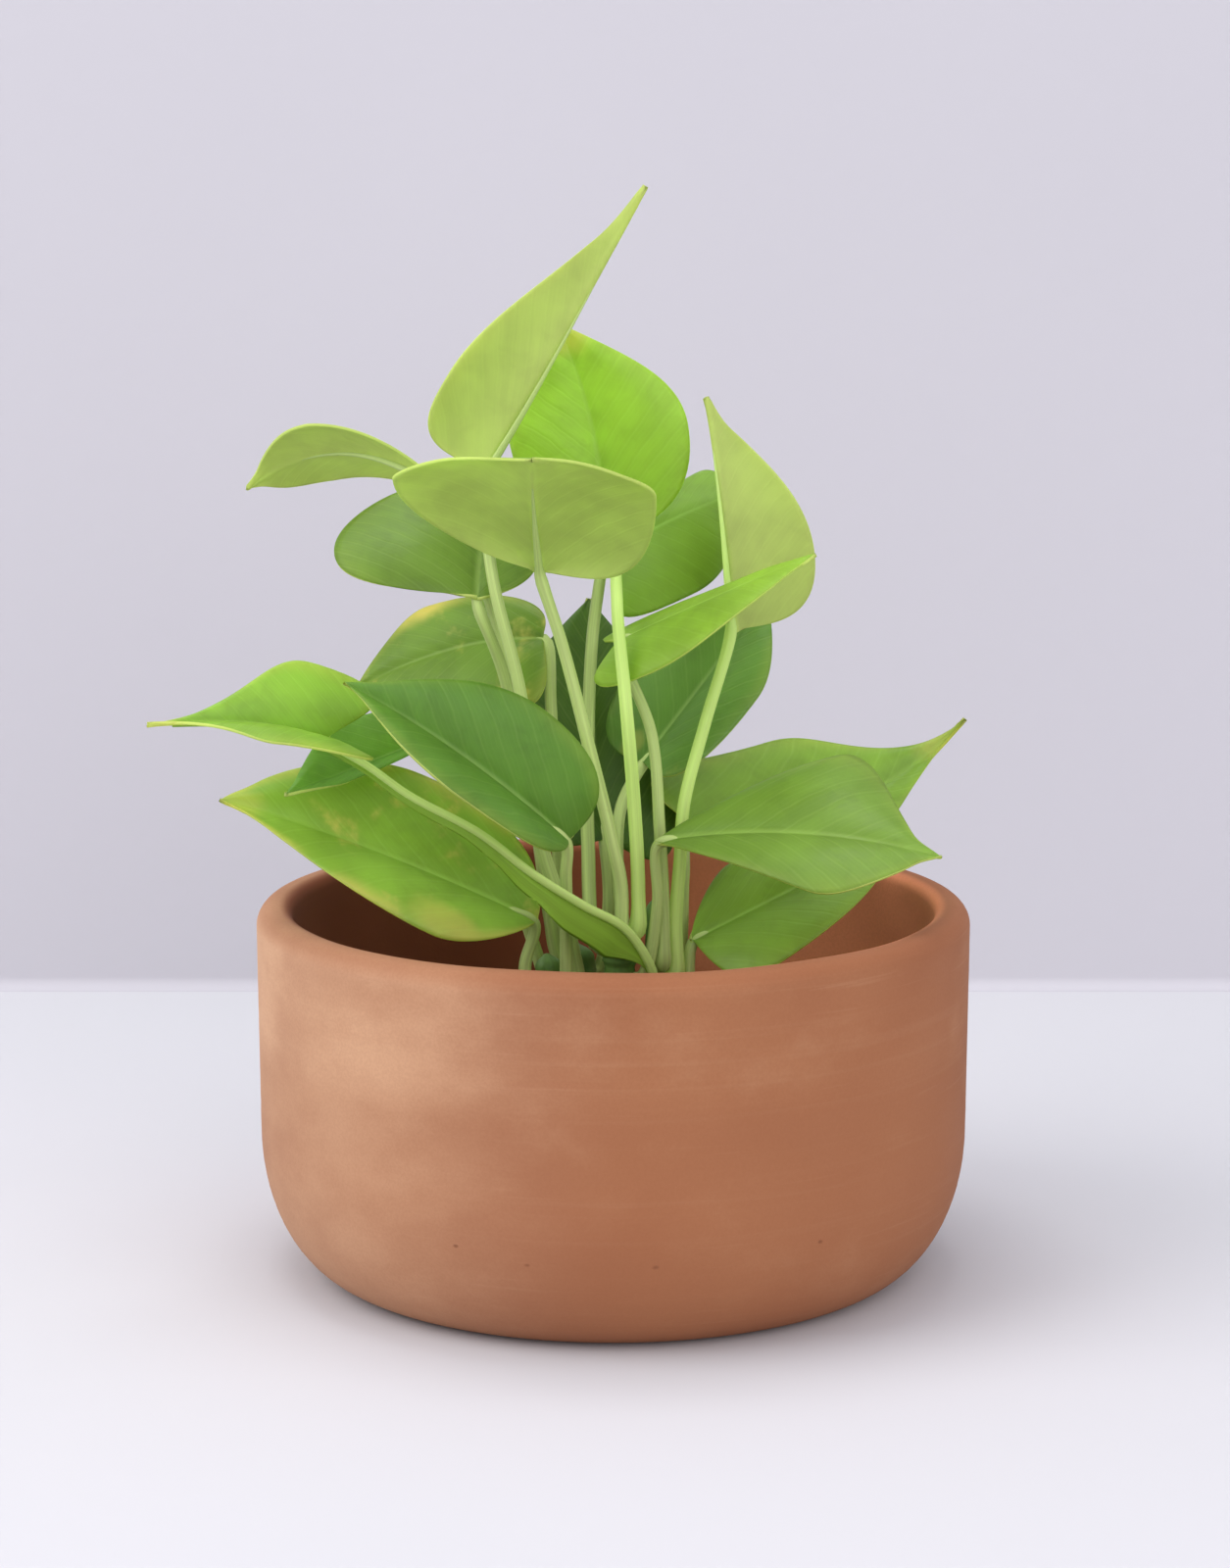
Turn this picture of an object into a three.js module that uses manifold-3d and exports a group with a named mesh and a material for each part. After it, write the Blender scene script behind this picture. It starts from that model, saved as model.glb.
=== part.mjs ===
// A young pothos in a round terracotta bowl: the bowl, its potting soil, four short vines
// rooted in the soil, and eighteen leaves, each a blade on its own stalk. Millimetres, +Z up,
// z = 0 under the bowl's foot, the bowl's axis on Z.
import * as THREE from "three";
import Module from "manifold-3d";

const wasm = await Module();
wasm.setup();
const { Manifold, Mesh: SolidMesh } = wasm;

// ---- Driving dimensions -------------------------------------------------------------------
const bowl = {
  outerRadius: 85, // at the rim
  height: 89,
  wall: 8.5, // at the rim
  floorThickness: 10,
  footRadius: 63, // the flat that it stands on
  cornerHeight: 35, // of the big rounded lower corner
  wallTaper: 0.4, // how much narrower the wall is where the corner starts
  rimOuterRound: 4.5,
  rimInnerRound: 3,
  innerCornerRadius: 24,
};
const soil = {
  drop: 36, // from the rim down to the soil's edge
  mound: 4, // how much higher the soil is at the middle
};
const clearance = 0.3; // between pieces that touch in the real plant
const vineRadius = 3.2;
const knuckleRadius = 4.2;
const vineRooted = 14; // how deep a vine goes below the soil's edge level
const bladeThickness = 1.0; // along the midrib
const marginThickness = 0.6;
const bladeBulge = 0.1; // how far each half swells, as a share of its width
const lobeSpread = 0.3; // how wide the notch at a leaf's base opens
const widestTurn = 0.42; // how far round the outline of a half its widest point is
const stationCrowding = 1.25; // above 1, cross rows stand closer together near the base
const bladeEnds = { first: 0.03, last: 0.975 }; // where the first and last cross rows are
const stalkRadius = { foot: 1.5, neck: 1.2, end: 0.5 }; // the end is at the blade
const footRoom = 1.1; // a stalk's first point is this many foot radii clear of its vine

const BLADE_SIDES = 14;
const BLADE_STEPS = 10;
const STALK_SIDES = 6;
const STALK_STEPS = 8;
const SHEATH_SIDES = 8;
const VINE_SIDES = 8;
const VINE_STEPS = 10;
const BOWL_SIDES = 48;
const SOIL_SIDES = 36;

const soilTop = bowl.height - soil.drop;
const plannedInnerRadius = 76.5; // the plant tables below are for a bowl this wide inside
const spread = (bowl.outerRadius - bowl.wall) / plannedInnerRadius;

// ---- Vines: where each stands in the soil and where its top is ------------------------------
// The plant tables have their zero height at the soil's edge.
const vines = {
  left: { foot: [-13, 2, 0], top: [-16, 4, 22] },
  middle: { foot: [1, 0, 0], top: [2, 1, 31] },
  right: { foot: [11, 5, 0], top: [11, 5, 36] },
  rear: { foot: [-7, 14, 0], top: [-9, 16, 22] },
};
const knuckleProfile = [0.9, 1, 0.88, 0.35]; // a vine's last rings, as shares of knuckleRadius

// ---- Leaves ---------------------------------------------------------------------------------
// base, mid and tip lie on the midrib; left and right are the widest points of the two halves,
// as seen from the base by someone who stands on the upper side. lobes are how far the left and
// right lobes reach behind the base, as a share of the length (below 0 the base tapers), and
// blunt is how full each half is towards the tip: below 0 it is hollow, at 1 rounded. The stalk
// leaves its vine at a height above the mound and a compass angle (0 = +X, 90 = +Y), and passes
// through the via points. tone names the colour of the side that is mostly seen.
const leaves = [
  { name: "top_spear", tone: "lime",
    base: [-31, 6, 138], mid: [-16, 1, 162], tip: [7, -8, 204],
    left: [-20, 14, 157], right: [-38, 4, 162], lobes: [0.1, 0.18], blunt: [0.2, 0.2],
    stalk: { vine: "left", height: 8, angle: 20,
      via: [[-11, 1, 30], [-17, -2, 50], [-22, -2, 87], [-28, -2, 112], [-30, 2, 127]] } },
  { name: "top_round", tone: "lime",
    base: [-2, 22, 121], mid: [-5, 23, 147], tip: [-13, 20, 172],
    left: [-25, 22, 144], right: [18, 18, 148], lobes: [0, 0], blunt: [0.35, 0.35],
    stalk: { vine: "middle", height: 20, angle: 170,
      via: [[-6, 5, 50], [-6, 12, 72], [-5, 20, 96]] } },
  { name: "top_front", tone: "olive",
    base: [-17, -6, 116], mid: [-18, -24, 132], tip: [-18, -46, 146],
    left: [10, -26, 134], right: [-50, -30, 140], lobes: [0.16, -0.15], blunt: [0.7, 0.7],
    stalk: { vine: "middle", height: 22, angle: 270,
      via: [[2, -6, 40], [0, -7.5, 51], [-6, -8, 76], [-12, -7, 99]] } },
  { name: "left_upper", tone: "green",
    base: [-32, 0, 109], mid: [-31, 12, 121], tip: [-29, 24, 134],
    left: [-66, 6, 120], right: [-18, 12, 116], lobes: [0.1, -0.1], blunt: [0.8, 0.9],
    stalk: { vine: "rear", height: 12, angle: 230, via: [[-18, 9, 50], [-26, 5, 90]] } },
  { name: "far_left", tone: "olive",
    base: [-42, 28, 133], mid: [-66, 38, 140], tip: [-89, 44, 131],
    left: [-74, 30, 148], right: [-69, 50, 132], lobes: [-0.3, 0], blunt: [0.4, 0.4],
    stalk: { vine: "rear", height: 13, angle: 140,
      via: [[-19, 15, 55], [-24, 12, 85], [-30, 13, 108], [-38, 20, 125]] } },
  { name: "right_upper", tone: "green",
    base: [2, 18, 119], mid: [17, 25, 126], tip: [32, 31, 131],
    left: [21, 40, 135], right: [20, 23, 107], lobes: [-0.3, 0.3], blunt: [0.6, 0.6],
    stalk: { vine: "middle", height: 24, angle: 310,
      via: [[6, -5, 40], [5, -9, 61], [3, -13, 86], [1, 1, 107]] } },
  { name: "right_pale", tone: "olive",
    base: [29, 8, 100], mid: [26, 2, 128], tip: [22, 4, 155],
    left: [48, 10, 118], right: [32, 22, 117], lobes: [0.02, 0.05], blunt: [0.2, 0.2],
    stalk: { vine: "right", height: 12, angle: 315,
      via: [[15, 0, 31], [16, 0, 45], [17, 2, 59], [22, 5, 78]] } },
  { name: "right_front_upper", tone: "lime",
    base: [1, 6, 98], mid: [24, -6, 110], tip: [46, -18, 121],
    left: [16, 8, 107], right: [8, -12, 93], lobes: [0.17, 0.13], blunt: [0.2, 0.2],
    stalk: { vine: "right", height: 16, angle: 280,
      via: [[12, -1, 34], [11, 0, 53], [9, 4, 76]] } },
  { name: "left_front", tone: "dark",
    base: [-10, -18, 54], mid: [-35, -32, 77], tip: [-60, -44, 95],
    left: [-36, -46, 70], right: [-16, -20, 85], lobes: [-0.05, 0.05], blunt: [0.25, 0.25],
    stalk: { vine: "left", height: 8, angle: 300, via: [[-11, -8, 32], [-11, -14, 45]] } },
  { name: "right_rear_upper", tone: "dark",
    base: [7, 16, 67], mid: [23, 28, 86], tip: [38, 38, 105],
    left: [10, 40, 94], right: [35, 20, 82], lobes: [0.05, 0.08], blunt: [0.3, 0.3],
    stalk: { vine: "middle", height: 18, angle: 80, via: [[1, 6, 45], [2, 9, 57]] } },
  { name: "long_left", tone: "green",
    base: [-66, -24, 79], mid: [-85, -32, 84], tip: [-105, -40, 85],
    left: [-74, -44, 82], right: [-70, -18, 96], lobes: [0.3, 0.35], blunt: [-0.4, -0.4],
    sheath: { vine: "right", height: 8, angle: 262,
      via: [[9, -6, 21], [3, -10, 31], [-7, -16, 38], [-19, -22, 47], [-31, -25, 57],
        [-47, -26, 66], [-57, -25, 73]] } },
  { name: "left_low", tone: "green",
    base: [-18, -4, 32], mid: [-55, -16, 51], tip: [-90, -26, 65],
    left: [-42, -28, 34], right: [-47, 4, 66], lobes: [-0.12, 0], blunt: [0.15, 0.5],
    stalk: { vine: "left", height: 2, angle: 215, via: [[-21, -3, 20]] } },
  { name: "left_rear", tone: "green",
    base: [-17, 24, 96], mid: [-39, 34, 92], tip: [-63, 44, 81],
    left: [-34, 18, 77], right: [-45, 44, 101], lobes: [0.1, 0.1], blunt: [0.5, 0.4],
    stalk: { vine: "rear", height: 14, angle: 110, via: [[-14, 14, 55], [-15, 20, 80]] } },
  { name: "left_small_dark", tone: "dark",
    base: [-46, 10, 73], mid: [-61, -12, 70], tip: [-75, -28, 67],
    left: [-61, -17, 68], right: [-64, -6, 80], lobes: [0.05, 0.05], blunt: [0.2, 0.2],
    stalk: { vine: "rear", height: 2, angle: 180, via: [[-24, 17, 35], [-38, 17, 61]] } },
  { name: "right_front", tone: "green",
    base: [10, -8, 52], mid: [42, -24, 57], tip: [74, -36, 54],
    left: [56, -4, 72], right: [46, -42, 47], lobes: [-0.3, -0.3], blunt: [-0.1, 0.4],
    stalk: { vine: "middle", height: 12, angle: 340, via: [[10.5, -4, 36]] } },
  { name: "centre_dark", tone: "dark",
    base: [-2, 20, 47], mid: [-5, 36, 73], tip: [-6, 52, 102],
    left: [-24, 30, 72], right: [15, 31, 66], lobes: [0.1, 0.2], blunt: [0.4, 0.4],
    stalk: { vine: "rear", height: 10, angle: 30, via: [[-1, 19, 32]] } },
  { name: "right_rear", tone: "green",
    base: [19, 14, 52], mid: [56, 42, 51], tip: [88, 54, 71],
    left: [38, 48, 66], right: [61, 36, 42], lobes: [0.08, -0.1], blunt: [-0.3, -0.3],
    stalk: { vine: "right", height: 12, angle: 40, via: [[17, 9, 40]] } },
  { name: "right_low", tone: "green",
    base: [19, 2, 26], mid: [43, 8, 37], tip: [69, 14, 49],
    left: [28, 16, 42], right: [37, -12, 22], lobes: [-0.12, 0], blunt: [0.6, 0.6],
    stalk: { vine: "right", height: 2, angle: 345, via: [[18, 2, 16]] } },
];

// The winged sheath below the long left leaf: half widths at even steps from vine to blade.
const wing = {
  halfWidths: [1.2, 4.5, 6.0, 3.6, 2.2, 1.6, 1.3, 1.1, 1.0, 0.9],
  thickness: 1.2,
  facing: [0.1, -1, 0.25],
};

// ---- Materials --------------------------------------------------------------------------------
const matt = (color, roughness) =>
  new THREE.MeshStandardMaterial({ color, roughness, metalness: 0 });
const materials = {
  terracotta: matt(0xb8754c, 0.85),
  soil: matt(0x3a2a20, 0.95),
  lime: matt(0xa0cc48, 0.45),
  olive: matt(0xa5bd6a, 0.5),
  green: matt(0x6ea338, 0.45),
  dark: matt(0x41752f, 0.4),
  stalk: matt(0x9dbb6c, 0.5),
  vine: matt(0x6d8a4a, 0.6),
};

// ---- Small helpers ----------------------------------------------------------------------------
const plantPoint = ([x, y, z]) => new THREE.Vector3(x * spread, y * spread, z);
const radians = THREE.MathUtils.degToRad;

/**
 * Bends a unit cylinder into shape: place(ring, side) gives the new place of each vertex, and
 * side is null at the middle of an end.
 */
function shapeCylinder(sides, steps, place) {
  const geometry = new THREE.CylinderGeometry(1, 1, 1, sides, steps);
  const position = geometry.attributes.position;
  for (let i = 0; i < position.count; i++) {
    const at = new THREE.Vector3().fromBufferAttribute(position, i);
    const onAxis = Math.hypot(at.x, at.z) < 0.5;
    const turn = (Math.atan2(at.x, at.z) / (2 * Math.PI) + 1) % 1;
    const side = Math.round(turn * sides) % sides;
    const ring = Math.round((at.y + 0.5) * steps);
    const p = place(ring, onAxis ? null : side);
    position.setXYZ(i, p.x, p.y, p.z);
  }
  geometry.deleteAttribute("normal");
  geometry.deleteAttribute("uv");
  return geometry;
}

/** A manifold-3d solid of a three.js geometry, facing out. */
function toSolid(geometry) {
  const flat = geometry.index ? geometry.toNonIndexed() : geometry;
  const mesh = new SolidMesh({
    numProp: 3,
    vertProperties: new Float32Array(flat.attributes.position.array),
    triVerts: Uint32Array.from({ length: flat.attributes.position.count }, (_, i) => i),
  });
  mesh.merge();
  const solid = new Manifold(mesh);
  if (solid.volume() > 0) return solid;
  for (let i = 0; i < mesh.triVerts.length; i += 3)
    [mesh.triVerts[i + 1], mesh.triVerts[i + 2]] = [mesh.triVerts[i + 2], mesh.triVerts[i + 1]];
  return new Manifold(mesh);
}

/** The three.js geometry of a manifold-3d solid. */
function toGeometry(solid) {
  const mesh = solid.getMesh();
  const geometry = new THREE.BufferGeometry();
  geometry.setAttribute("position", new THREE.BufferAttribute(mesh.vertProperties, 3));
  geometry.setIndex(new THREE.BufferAttribute(mesh.triVerts, 1));
  geometry.computeVertexNormals();
  return geometry;
}

/** A named mesh whose own origin is at a point, placed there. */
function namedMesh(name, geometry, material, origin = new THREE.Vector3()) {
  const local = geometry.translate(-origin.x, -origin.y, -origin.z);
  const mesh = new THREE.Mesh(toGeometry(toSolid(local)), material);
  mesh.name = name;
  mesh.position.copy(origin);
  return mesh;
}

// ---- Bowl and soil ------------------------------------------------------------------------------
/** Points of a quarter of an ellipse round (x, z), from one angle to another in degrees. */
function arc(x, z, rx, rz, from, to, steps) {
  return Array.from({ length: steps + 1 }, (_, i) => {
    const a = radians(from + ((to - from) * i) / steps);
    return new THREE.Vector2(x + rx * Math.cos(a), z + rz * Math.sin(a));
  });
}

/** The inside of the bowl from the floor's middle up to a height, set in by a gap. */
function innerProfile(inset, top) {
  const r = bowl.outerRadius - bowl.wall - inset;
  const c = bowl.innerCornerRadius - inset;
  const z = bowl.floorThickness + inset;
  return [new THREE.Vector2(0, z), ...arc(r - c, z + c, c, c, -90, 0, 5), new THREE.Vector2(r, top)];
}

function bowlGeometry() {
  const { outerRadius: R, height: H, wall, footRadius, cornerHeight, wallTaper } = bowl;
  const low = R - wallTaper;
  const ro = bowl.rimOuterRound;
  const ri = bowl.rimInnerRound;
  const outside = [
    new THREE.Vector2(0, 0),
    ...arc(footRadius, cornerHeight, low - footRadius, cornerHeight, -90, 0, 9),
    ...arc(R - ro, H - ro, ro, ro, 0, 90, 3),
  ];
  const rim = arc(R - wall + ri, H - ri, ri, ri, 90, 180, 3);
  const inside = innerProfile(0, H - ri).slice(0, -1).reverse();
  const profile = [...outside, ...rim, ...inside];
  return new THREE.LatheGeometry(profile, BOWL_SIDES).rotateX(Math.PI / 2);
}

function soilGeometry() {
  const wallSide = innerProfile(clearance, soilTop);
  const r = wallSide.at(-1).x;
  const surface = [0.8, 0.55, 0.3, 0].map(
    (share) => new THREE.Vector2(r * share, soilTop + soil.mound * (1 - share * share)),
  );
  return new THREE.LatheGeometry([...wallSide, ...surface], SOIL_SIDES).rotateX(Math.PI / 2);
}

/** The soil with a pocket round each rooted vine. */
function pocketedSoil() {
  const pockets = Object.values(vines).map((vine) =>
    toSolid(vineGeometry(vine, clearance)).translate([0, 0, soilTop]),
  );
  const mesh = new THREE.Mesh(
    toGeometry(toSolid(soilGeometry()).subtract(Manifold.union(pockets))),
    materials.soil,
  );
  mesh.name = "potting_soil";
  return mesh;
}

// ---- Vines ------------------------------------------------------------------------------------
function vineCurve(vine) {
  const foot = plantPoint(vine.foot);
  const top = plantPoint(vine.top);
  const rooted = foot.clone().setZ(-vineRooted);
  return new THREE.CatmullRomCurve3([rooted, foot, top]);
}

/** The vine's axis point at a height above the soil's mound. */
function vinePoint(vine, height) {
  const foot = plantPoint(vine.foot);
  const top = plantPoint(vine.top);
  return foot.lerp(top, (soil.mound + height) / vine.top[2]);
}

/** A round rod along a curve, with its own radius at each ring, grown all over by an amount. */
function rodGeometry(curve, radiusAt, sides, steps, grow = 0) {
  const frames = curve.computeFrenetFrames(steps, false);
  return shapeCylinder(sides, steps, (ring, side) => {
    const p = curve.getPointAt(ring / steps);
    if (ring === 0) p.addScaledVector(frames.tangents[0], -grow);
    if (ring === steps) p.addScaledVector(frames.tangents[steps], grow);
    if (side === null) return p;
    const a = (2 * Math.PI * side) / sides;
    const r = radiusAt(ring) + grow;
    return p
      .addScaledVector(frames.normals[ring], r * Math.cos(a))
      .addScaledVector(frames.binormals[ring], r * Math.sin(a));
  });
}

/** The vine swells at its top knuckle and closes over it. */
function vineRadiusAt(ring) {
  const place = ring - (VINE_STEPS + 1 - knuckleProfile.length);
  return place < 0 ? vineRadius : knuckleRadius * knuckleProfile[place];
}

const vineGeometry = (vine, grow = 0) =>
  rodGeometry(vineCurve(vine), vineRadiusAt, VINE_SIDES, VINE_STEPS, grow);

// ---- Leaf blades --------------------------------------------------------------------------------
const bezier = (a, b, c, d, t) =>
  a * (1 - t) ** 3 + 3 * b * t * (1 - t) ** 2 + 3 * c * t * t * (1 - t) + d * t ** 3;

/** Outline of one half at u from 0 (notch) to 1 (tip): x along the midrib, y across, to 1. */
function outlineAt(u, { station: widest, lobe, blunt }) {
  if (u < widestTurn) {
    const t = u / widestTurn;
    return [bezier(0, -0.25 * lobe, -1.9 * lobe, widest, t), bezier(0, lobeSpread, 1, 1, t)];
  }
  const t = (u - widestTurn) / (1 - widestTurn);
  const shoulder = widest + (0.38 + 0.1 * blunt) * (1 - widest);
  const towardTip = widest + (0.58 + 0.42 * blunt) * (1 - widest);
  return [bezier(widest, shoulder, towardTip, 1, t), bezier(1, 1, 0.28 + 0.4 * blunt, 0, t)];
}

/** The blade as a surface: point(u, across) and normal(u, across), across from -1 to 1. */
function bladeSurface(leaf) {
  const corners = [leaf.base, leaf.mid, leaf.tip, leaf.left, leaf.right];
  const [base, mid, tip, left, right] = corners.map(plantPoint);
  const bend = mid.clone().multiplyScalar(2);
  bend.addScaledVector(base, -0.5).addScaledVector(tip, -0.5);
  const midrib = new THREE.QuadraticBezierCurve3(base, bend, tip);
  const slopeAt = (s) =>
    bend.clone().sub(base).multiplyScalar(2 * (1 - s)).addScaledVector(tip.clone().sub(bend), 2 * s);
  const midribAt = (s) =>
    s < 0 ? base.clone().addScaledVector(slopeAt(0), s) : midrib.getPoint(s);
  const axis = tip.clone().sub(base);
  const halves = [left, right].map((widest, i) => {
    const share = widest.clone().sub(base).dot(axis) / axis.lengthSq();
    const station = THREE.MathUtils.clamp(share, 0.1, 0.75);
    const reach = widest.clone().sub(midribAt(station));
    return { station, reach, lobe: leaf.lobes[i], blunt: leaf.blunt[i], turn: i === 0 ? 1 : -1 };
  });
  const halfNormal = (half, s) =>
    slopeAt(Math.max(s, 0)).cross(half.reach).multiplyScalar(half.turn).normalize();
  const normal = (u, across) => {
    const [a, b] = halves.map((half) => halfNormal(half, u ** stationCrowding));
    if (Math.abs(across) < 0.01) return a.add(b).normalize();
    return across > 0 ? a : b;
  };
  const point = (u, across) => {
    const half = across >= 0 ? halves[0] : halves[1];
    const q = Math.abs(across);
    const s = u ** stationCrowding;
    const [x, y] = outlineAt(u, half);
    const edge = midribAt(x).addScaledVector(half.reach, y);
    const bulge = bladeBulge * half.reach.length() * y * 4 * q * (1 - q);
    return midribAt(s).lerp(edge, q).addScaledVector(halfNormal(half, s), bulge);
  };
  return { point, normal, base, along: slopeAt(0).normalize() };
}

function bladeGeometry(leaf) {
  const surface = bladeSurface(leaf);
  const columns = BLADE_SIDES / 2;
  return shapeCylinder(BLADE_SIDES, BLADE_STEPS, (ring, side) => {
    const u = THREE.MathUtils.lerp(bladeEnds.first, bladeEnds.last, ring / BLADE_STEPS);
    if (side === null) return surface.point(u, 0);
    const upper = side < columns;
    const column = upper ? side : BLADE_SIDES - 1 - side;
    const across = 1 - (2 * column) / (columns - 1);
    const half = THREE.MathUtils.lerp(bladeThickness, marginThickness, Math.abs(across)) / 2;
    const normal = surface.normal(u, across);
    return surface.point(u, across).addScaledVector(normal, upper ? half : -half);
  });
}

// ---- Leaf stalks ----------------------------------------------------------------------------------
/** The stalk's route from the side of its vine to just behind the blade's base. */
function stalkCurve(leaf, route, footRadius, endRadius) {
  const angle = radians(route.angle);
  const out = new THREE.Vector3(Math.cos(angle), Math.sin(angle), 0);
  const foot = vinePoint(vines[route.vine], route.height)
    .addScaledVector(out, knuckleRadius + clearance + footRadius * footRoom);
  const via = route.via.map(plantPoint);
  const { base, along } = bladeSurface(leaf);
  const inward = base.clone().sub(via.at(-1)).normalize();
  const across = Math.sqrt(Math.max(0, 1 - inward.dot(along) ** 2));
  const end = base.clone().addScaledVector(along, -(clearance + endRadius * across));
  return new THREE.CatmullRomCurve3([foot, ...via, end], false, "centripetal");
}

function stalkGeometry(leaf) {
  const { foot, neck, end } = stalkRadius;
  const curve = stalkCurve(leaf, leaf.stalk, foot, end);
  const radiusAt = (ring) =>
    ring === STALK_STEPS ? end : THREE.MathUtils.lerp(foot, neck, ring / STALK_STEPS);
  return rodGeometry(curve, radiusAt, STALK_SIDES, STALK_STEPS);
}

/** A flat winged stalk: its wide way lies across the route and leans up to the front. */
function sheathGeometry(leaf) {
  const steps = wing.halfWidths.length - 1;
  const curve = stalkCurve(leaf, leaf.sheath, wing.halfWidths[0], wing.halfWidths[steps]);
  const facing = new THREE.Vector3(...wing.facing).normalize();
  return shapeCylinder(SHEATH_SIDES, steps, (ring, side) => {
    const p = curve.getPointAt(ring / steps);
    if (side === null) return p;
    const tangent = curve.getTangentAt(ring / steps);
    const wide = facing.clone().cross(tangent).normalize();
    const thin = tangent.clone().cross(wide).normalize();
    const a = (2 * Math.PI * side) / SHEATH_SIDES;
    return p
      .addScaledVector(wide, wing.halfWidths[ring] * Math.cos(a))
      .addScaledVector(thin, (wing.thickness / 2) * Math.sin(a));
  });
}

// ---- Assembly ---------------------------------------------------------------------------------------
const plant = new THREE.Group();
plant.position.z = soilTop;
for (const [name, vine] of Object.entries(vines)) {
  const foot = plantPoint(vine.foot);
  plant.add(namedMesh(`vine_${name}`, vineGeometry(vine), materials.vine, foot));
}
for (const leaf of leaves) {
  const base = plantPoint(leaf.base);
  const stalk = leaf.sheath ? sheathGeometry(leaf) : stalkGeometry(leaf);
  plant.add(namedMesh(`leaf_${leaf.name}`, bladeGeometry(leaf), materials[leaf.tone], base));
  plant.add(namedMesh(`stalk_${leaf.name}`, stalk, materials.stalk, base));
}

const group = new THREE.Group();
group.add(namedMesh("terracotta_bowl", bowlGeometry(), materials.terracotta));
group.add(pocketedSoil());
group.add(plant);

export default group;
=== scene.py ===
"""A young pothos in a low round terracotta bowl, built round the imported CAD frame."""
import math
import random

import bmesh
import bpy
from bpy.props import FloatProperty, FloatVectorProperty, IntProperty, PointerProperty
from mathutils import Matrix, Vector, noise


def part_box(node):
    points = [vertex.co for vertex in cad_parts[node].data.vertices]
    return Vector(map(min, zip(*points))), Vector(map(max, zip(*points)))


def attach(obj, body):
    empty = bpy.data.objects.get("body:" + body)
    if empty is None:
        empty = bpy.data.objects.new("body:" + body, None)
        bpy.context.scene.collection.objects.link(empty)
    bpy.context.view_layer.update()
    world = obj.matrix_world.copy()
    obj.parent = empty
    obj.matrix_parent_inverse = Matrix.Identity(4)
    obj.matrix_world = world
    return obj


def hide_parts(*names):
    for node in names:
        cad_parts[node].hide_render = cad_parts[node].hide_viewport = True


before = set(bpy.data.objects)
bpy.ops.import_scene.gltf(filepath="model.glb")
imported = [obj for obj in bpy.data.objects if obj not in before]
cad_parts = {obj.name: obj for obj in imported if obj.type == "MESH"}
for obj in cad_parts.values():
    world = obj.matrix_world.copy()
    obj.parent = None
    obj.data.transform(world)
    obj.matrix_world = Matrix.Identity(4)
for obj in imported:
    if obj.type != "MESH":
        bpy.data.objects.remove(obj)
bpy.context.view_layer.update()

bl_info = {
    "name": "Potted pothos",
    "version": (1, 0, 0),
    "blender": (4, 5, 0),
    "location": "3D View > Sidebar > Pothos",
    "description": "Builds a pothos plant, its soil and its terracotta bowl",
    "category": "Add Mesh",
}

MM = 0.001
BOWL_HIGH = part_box("terracotta_bowl")[1]
SOIL_LOW, SOIL_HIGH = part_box("potting_soil")
BOWL_RADIUS = BOWL_HIGH.x
BOWL_HEIGHT = BOWL_HIGH.z
SOIL_MOUND = 4 * MM
SOIL_EDGE = SOIL_HIGH.z - SOIL_MOUND


def srgb(red, green, blue):
    """A colour given as display values from 0 to 255, as linear light."""
    parts = [value / 255 for value in (red, green, blue)]
    return tuple(p / 12.92 if p <= 0.04045 else ((p + 0.055) / 1.055) ** 2.4 for p in parts)


def shades(colour, *amounts):
    """Lighter and darker versions of a colour."""
    return [tuple(Vector(colour) * amount) for amount in amounts]


# ---- What a user can change ----
def length(name, description, default):
    return FloatProperty(name=name, description=description, default=default, min=0, unit="LENGTH")


def colour(name, description, default):
    return FloatVectorProperty(
        name=name, description=description, default=default, min=0, max=1, subtype="COLOR"
    )


class BowlSettings(bpy.types.PropertyGroup):
    """Sizes and colours of the bowl and the soil in it."""

    wall: length("Wall", "Thickness of the wall at the rim", 8.5 * MM)
    floor_thickness: length("Floor", "Thickness of the bowl's floor", 10 * MM)
    foot_radius: length("Foot radius", "Radius of the flat it stands on", 63 * MM)
    corner_height: length("Corner height", "Height of the rounded lower corner", 35 * MM)
    rim_round: length("Rim round", "Radius of the rim's outer edge", 4.5 * MM)
    segments: IntProperty(name="Segments", description="Faces round the bowl", default=192, min=24)
    clay: colour("Clay", "Main colour of the fired clay", srgb(160, 105, 72))
    clay_pale: colour("Pale clay", "Dry, lighter patches", srgb(208, 164, 130))
    clay_red: colour("Red clay", "Warmer patches", srgb(146, 90, 60))
    # The rim clay is painted shade on the top of the rim, which catches the light from above.
    clay_rim_shade: colour("Rim clay", "The handled rim", srgb(142, 88, 58))
    # The two inside clays are painted light and shade: the inside's left wall lies in shade, its
    # right wall is lit by the lamp from the left.
    clay_inside_shade: colour("Inside clay, left", "The damp inside", srgb(122, 60, 34))
    clay_inside_lit: colour("Inside clay, right", "The clean, drier inside", srgb(226, 142, 100))
    mix: colour("Potting mix", "Main colour of the soil", srgb(70, 50, 36))


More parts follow.
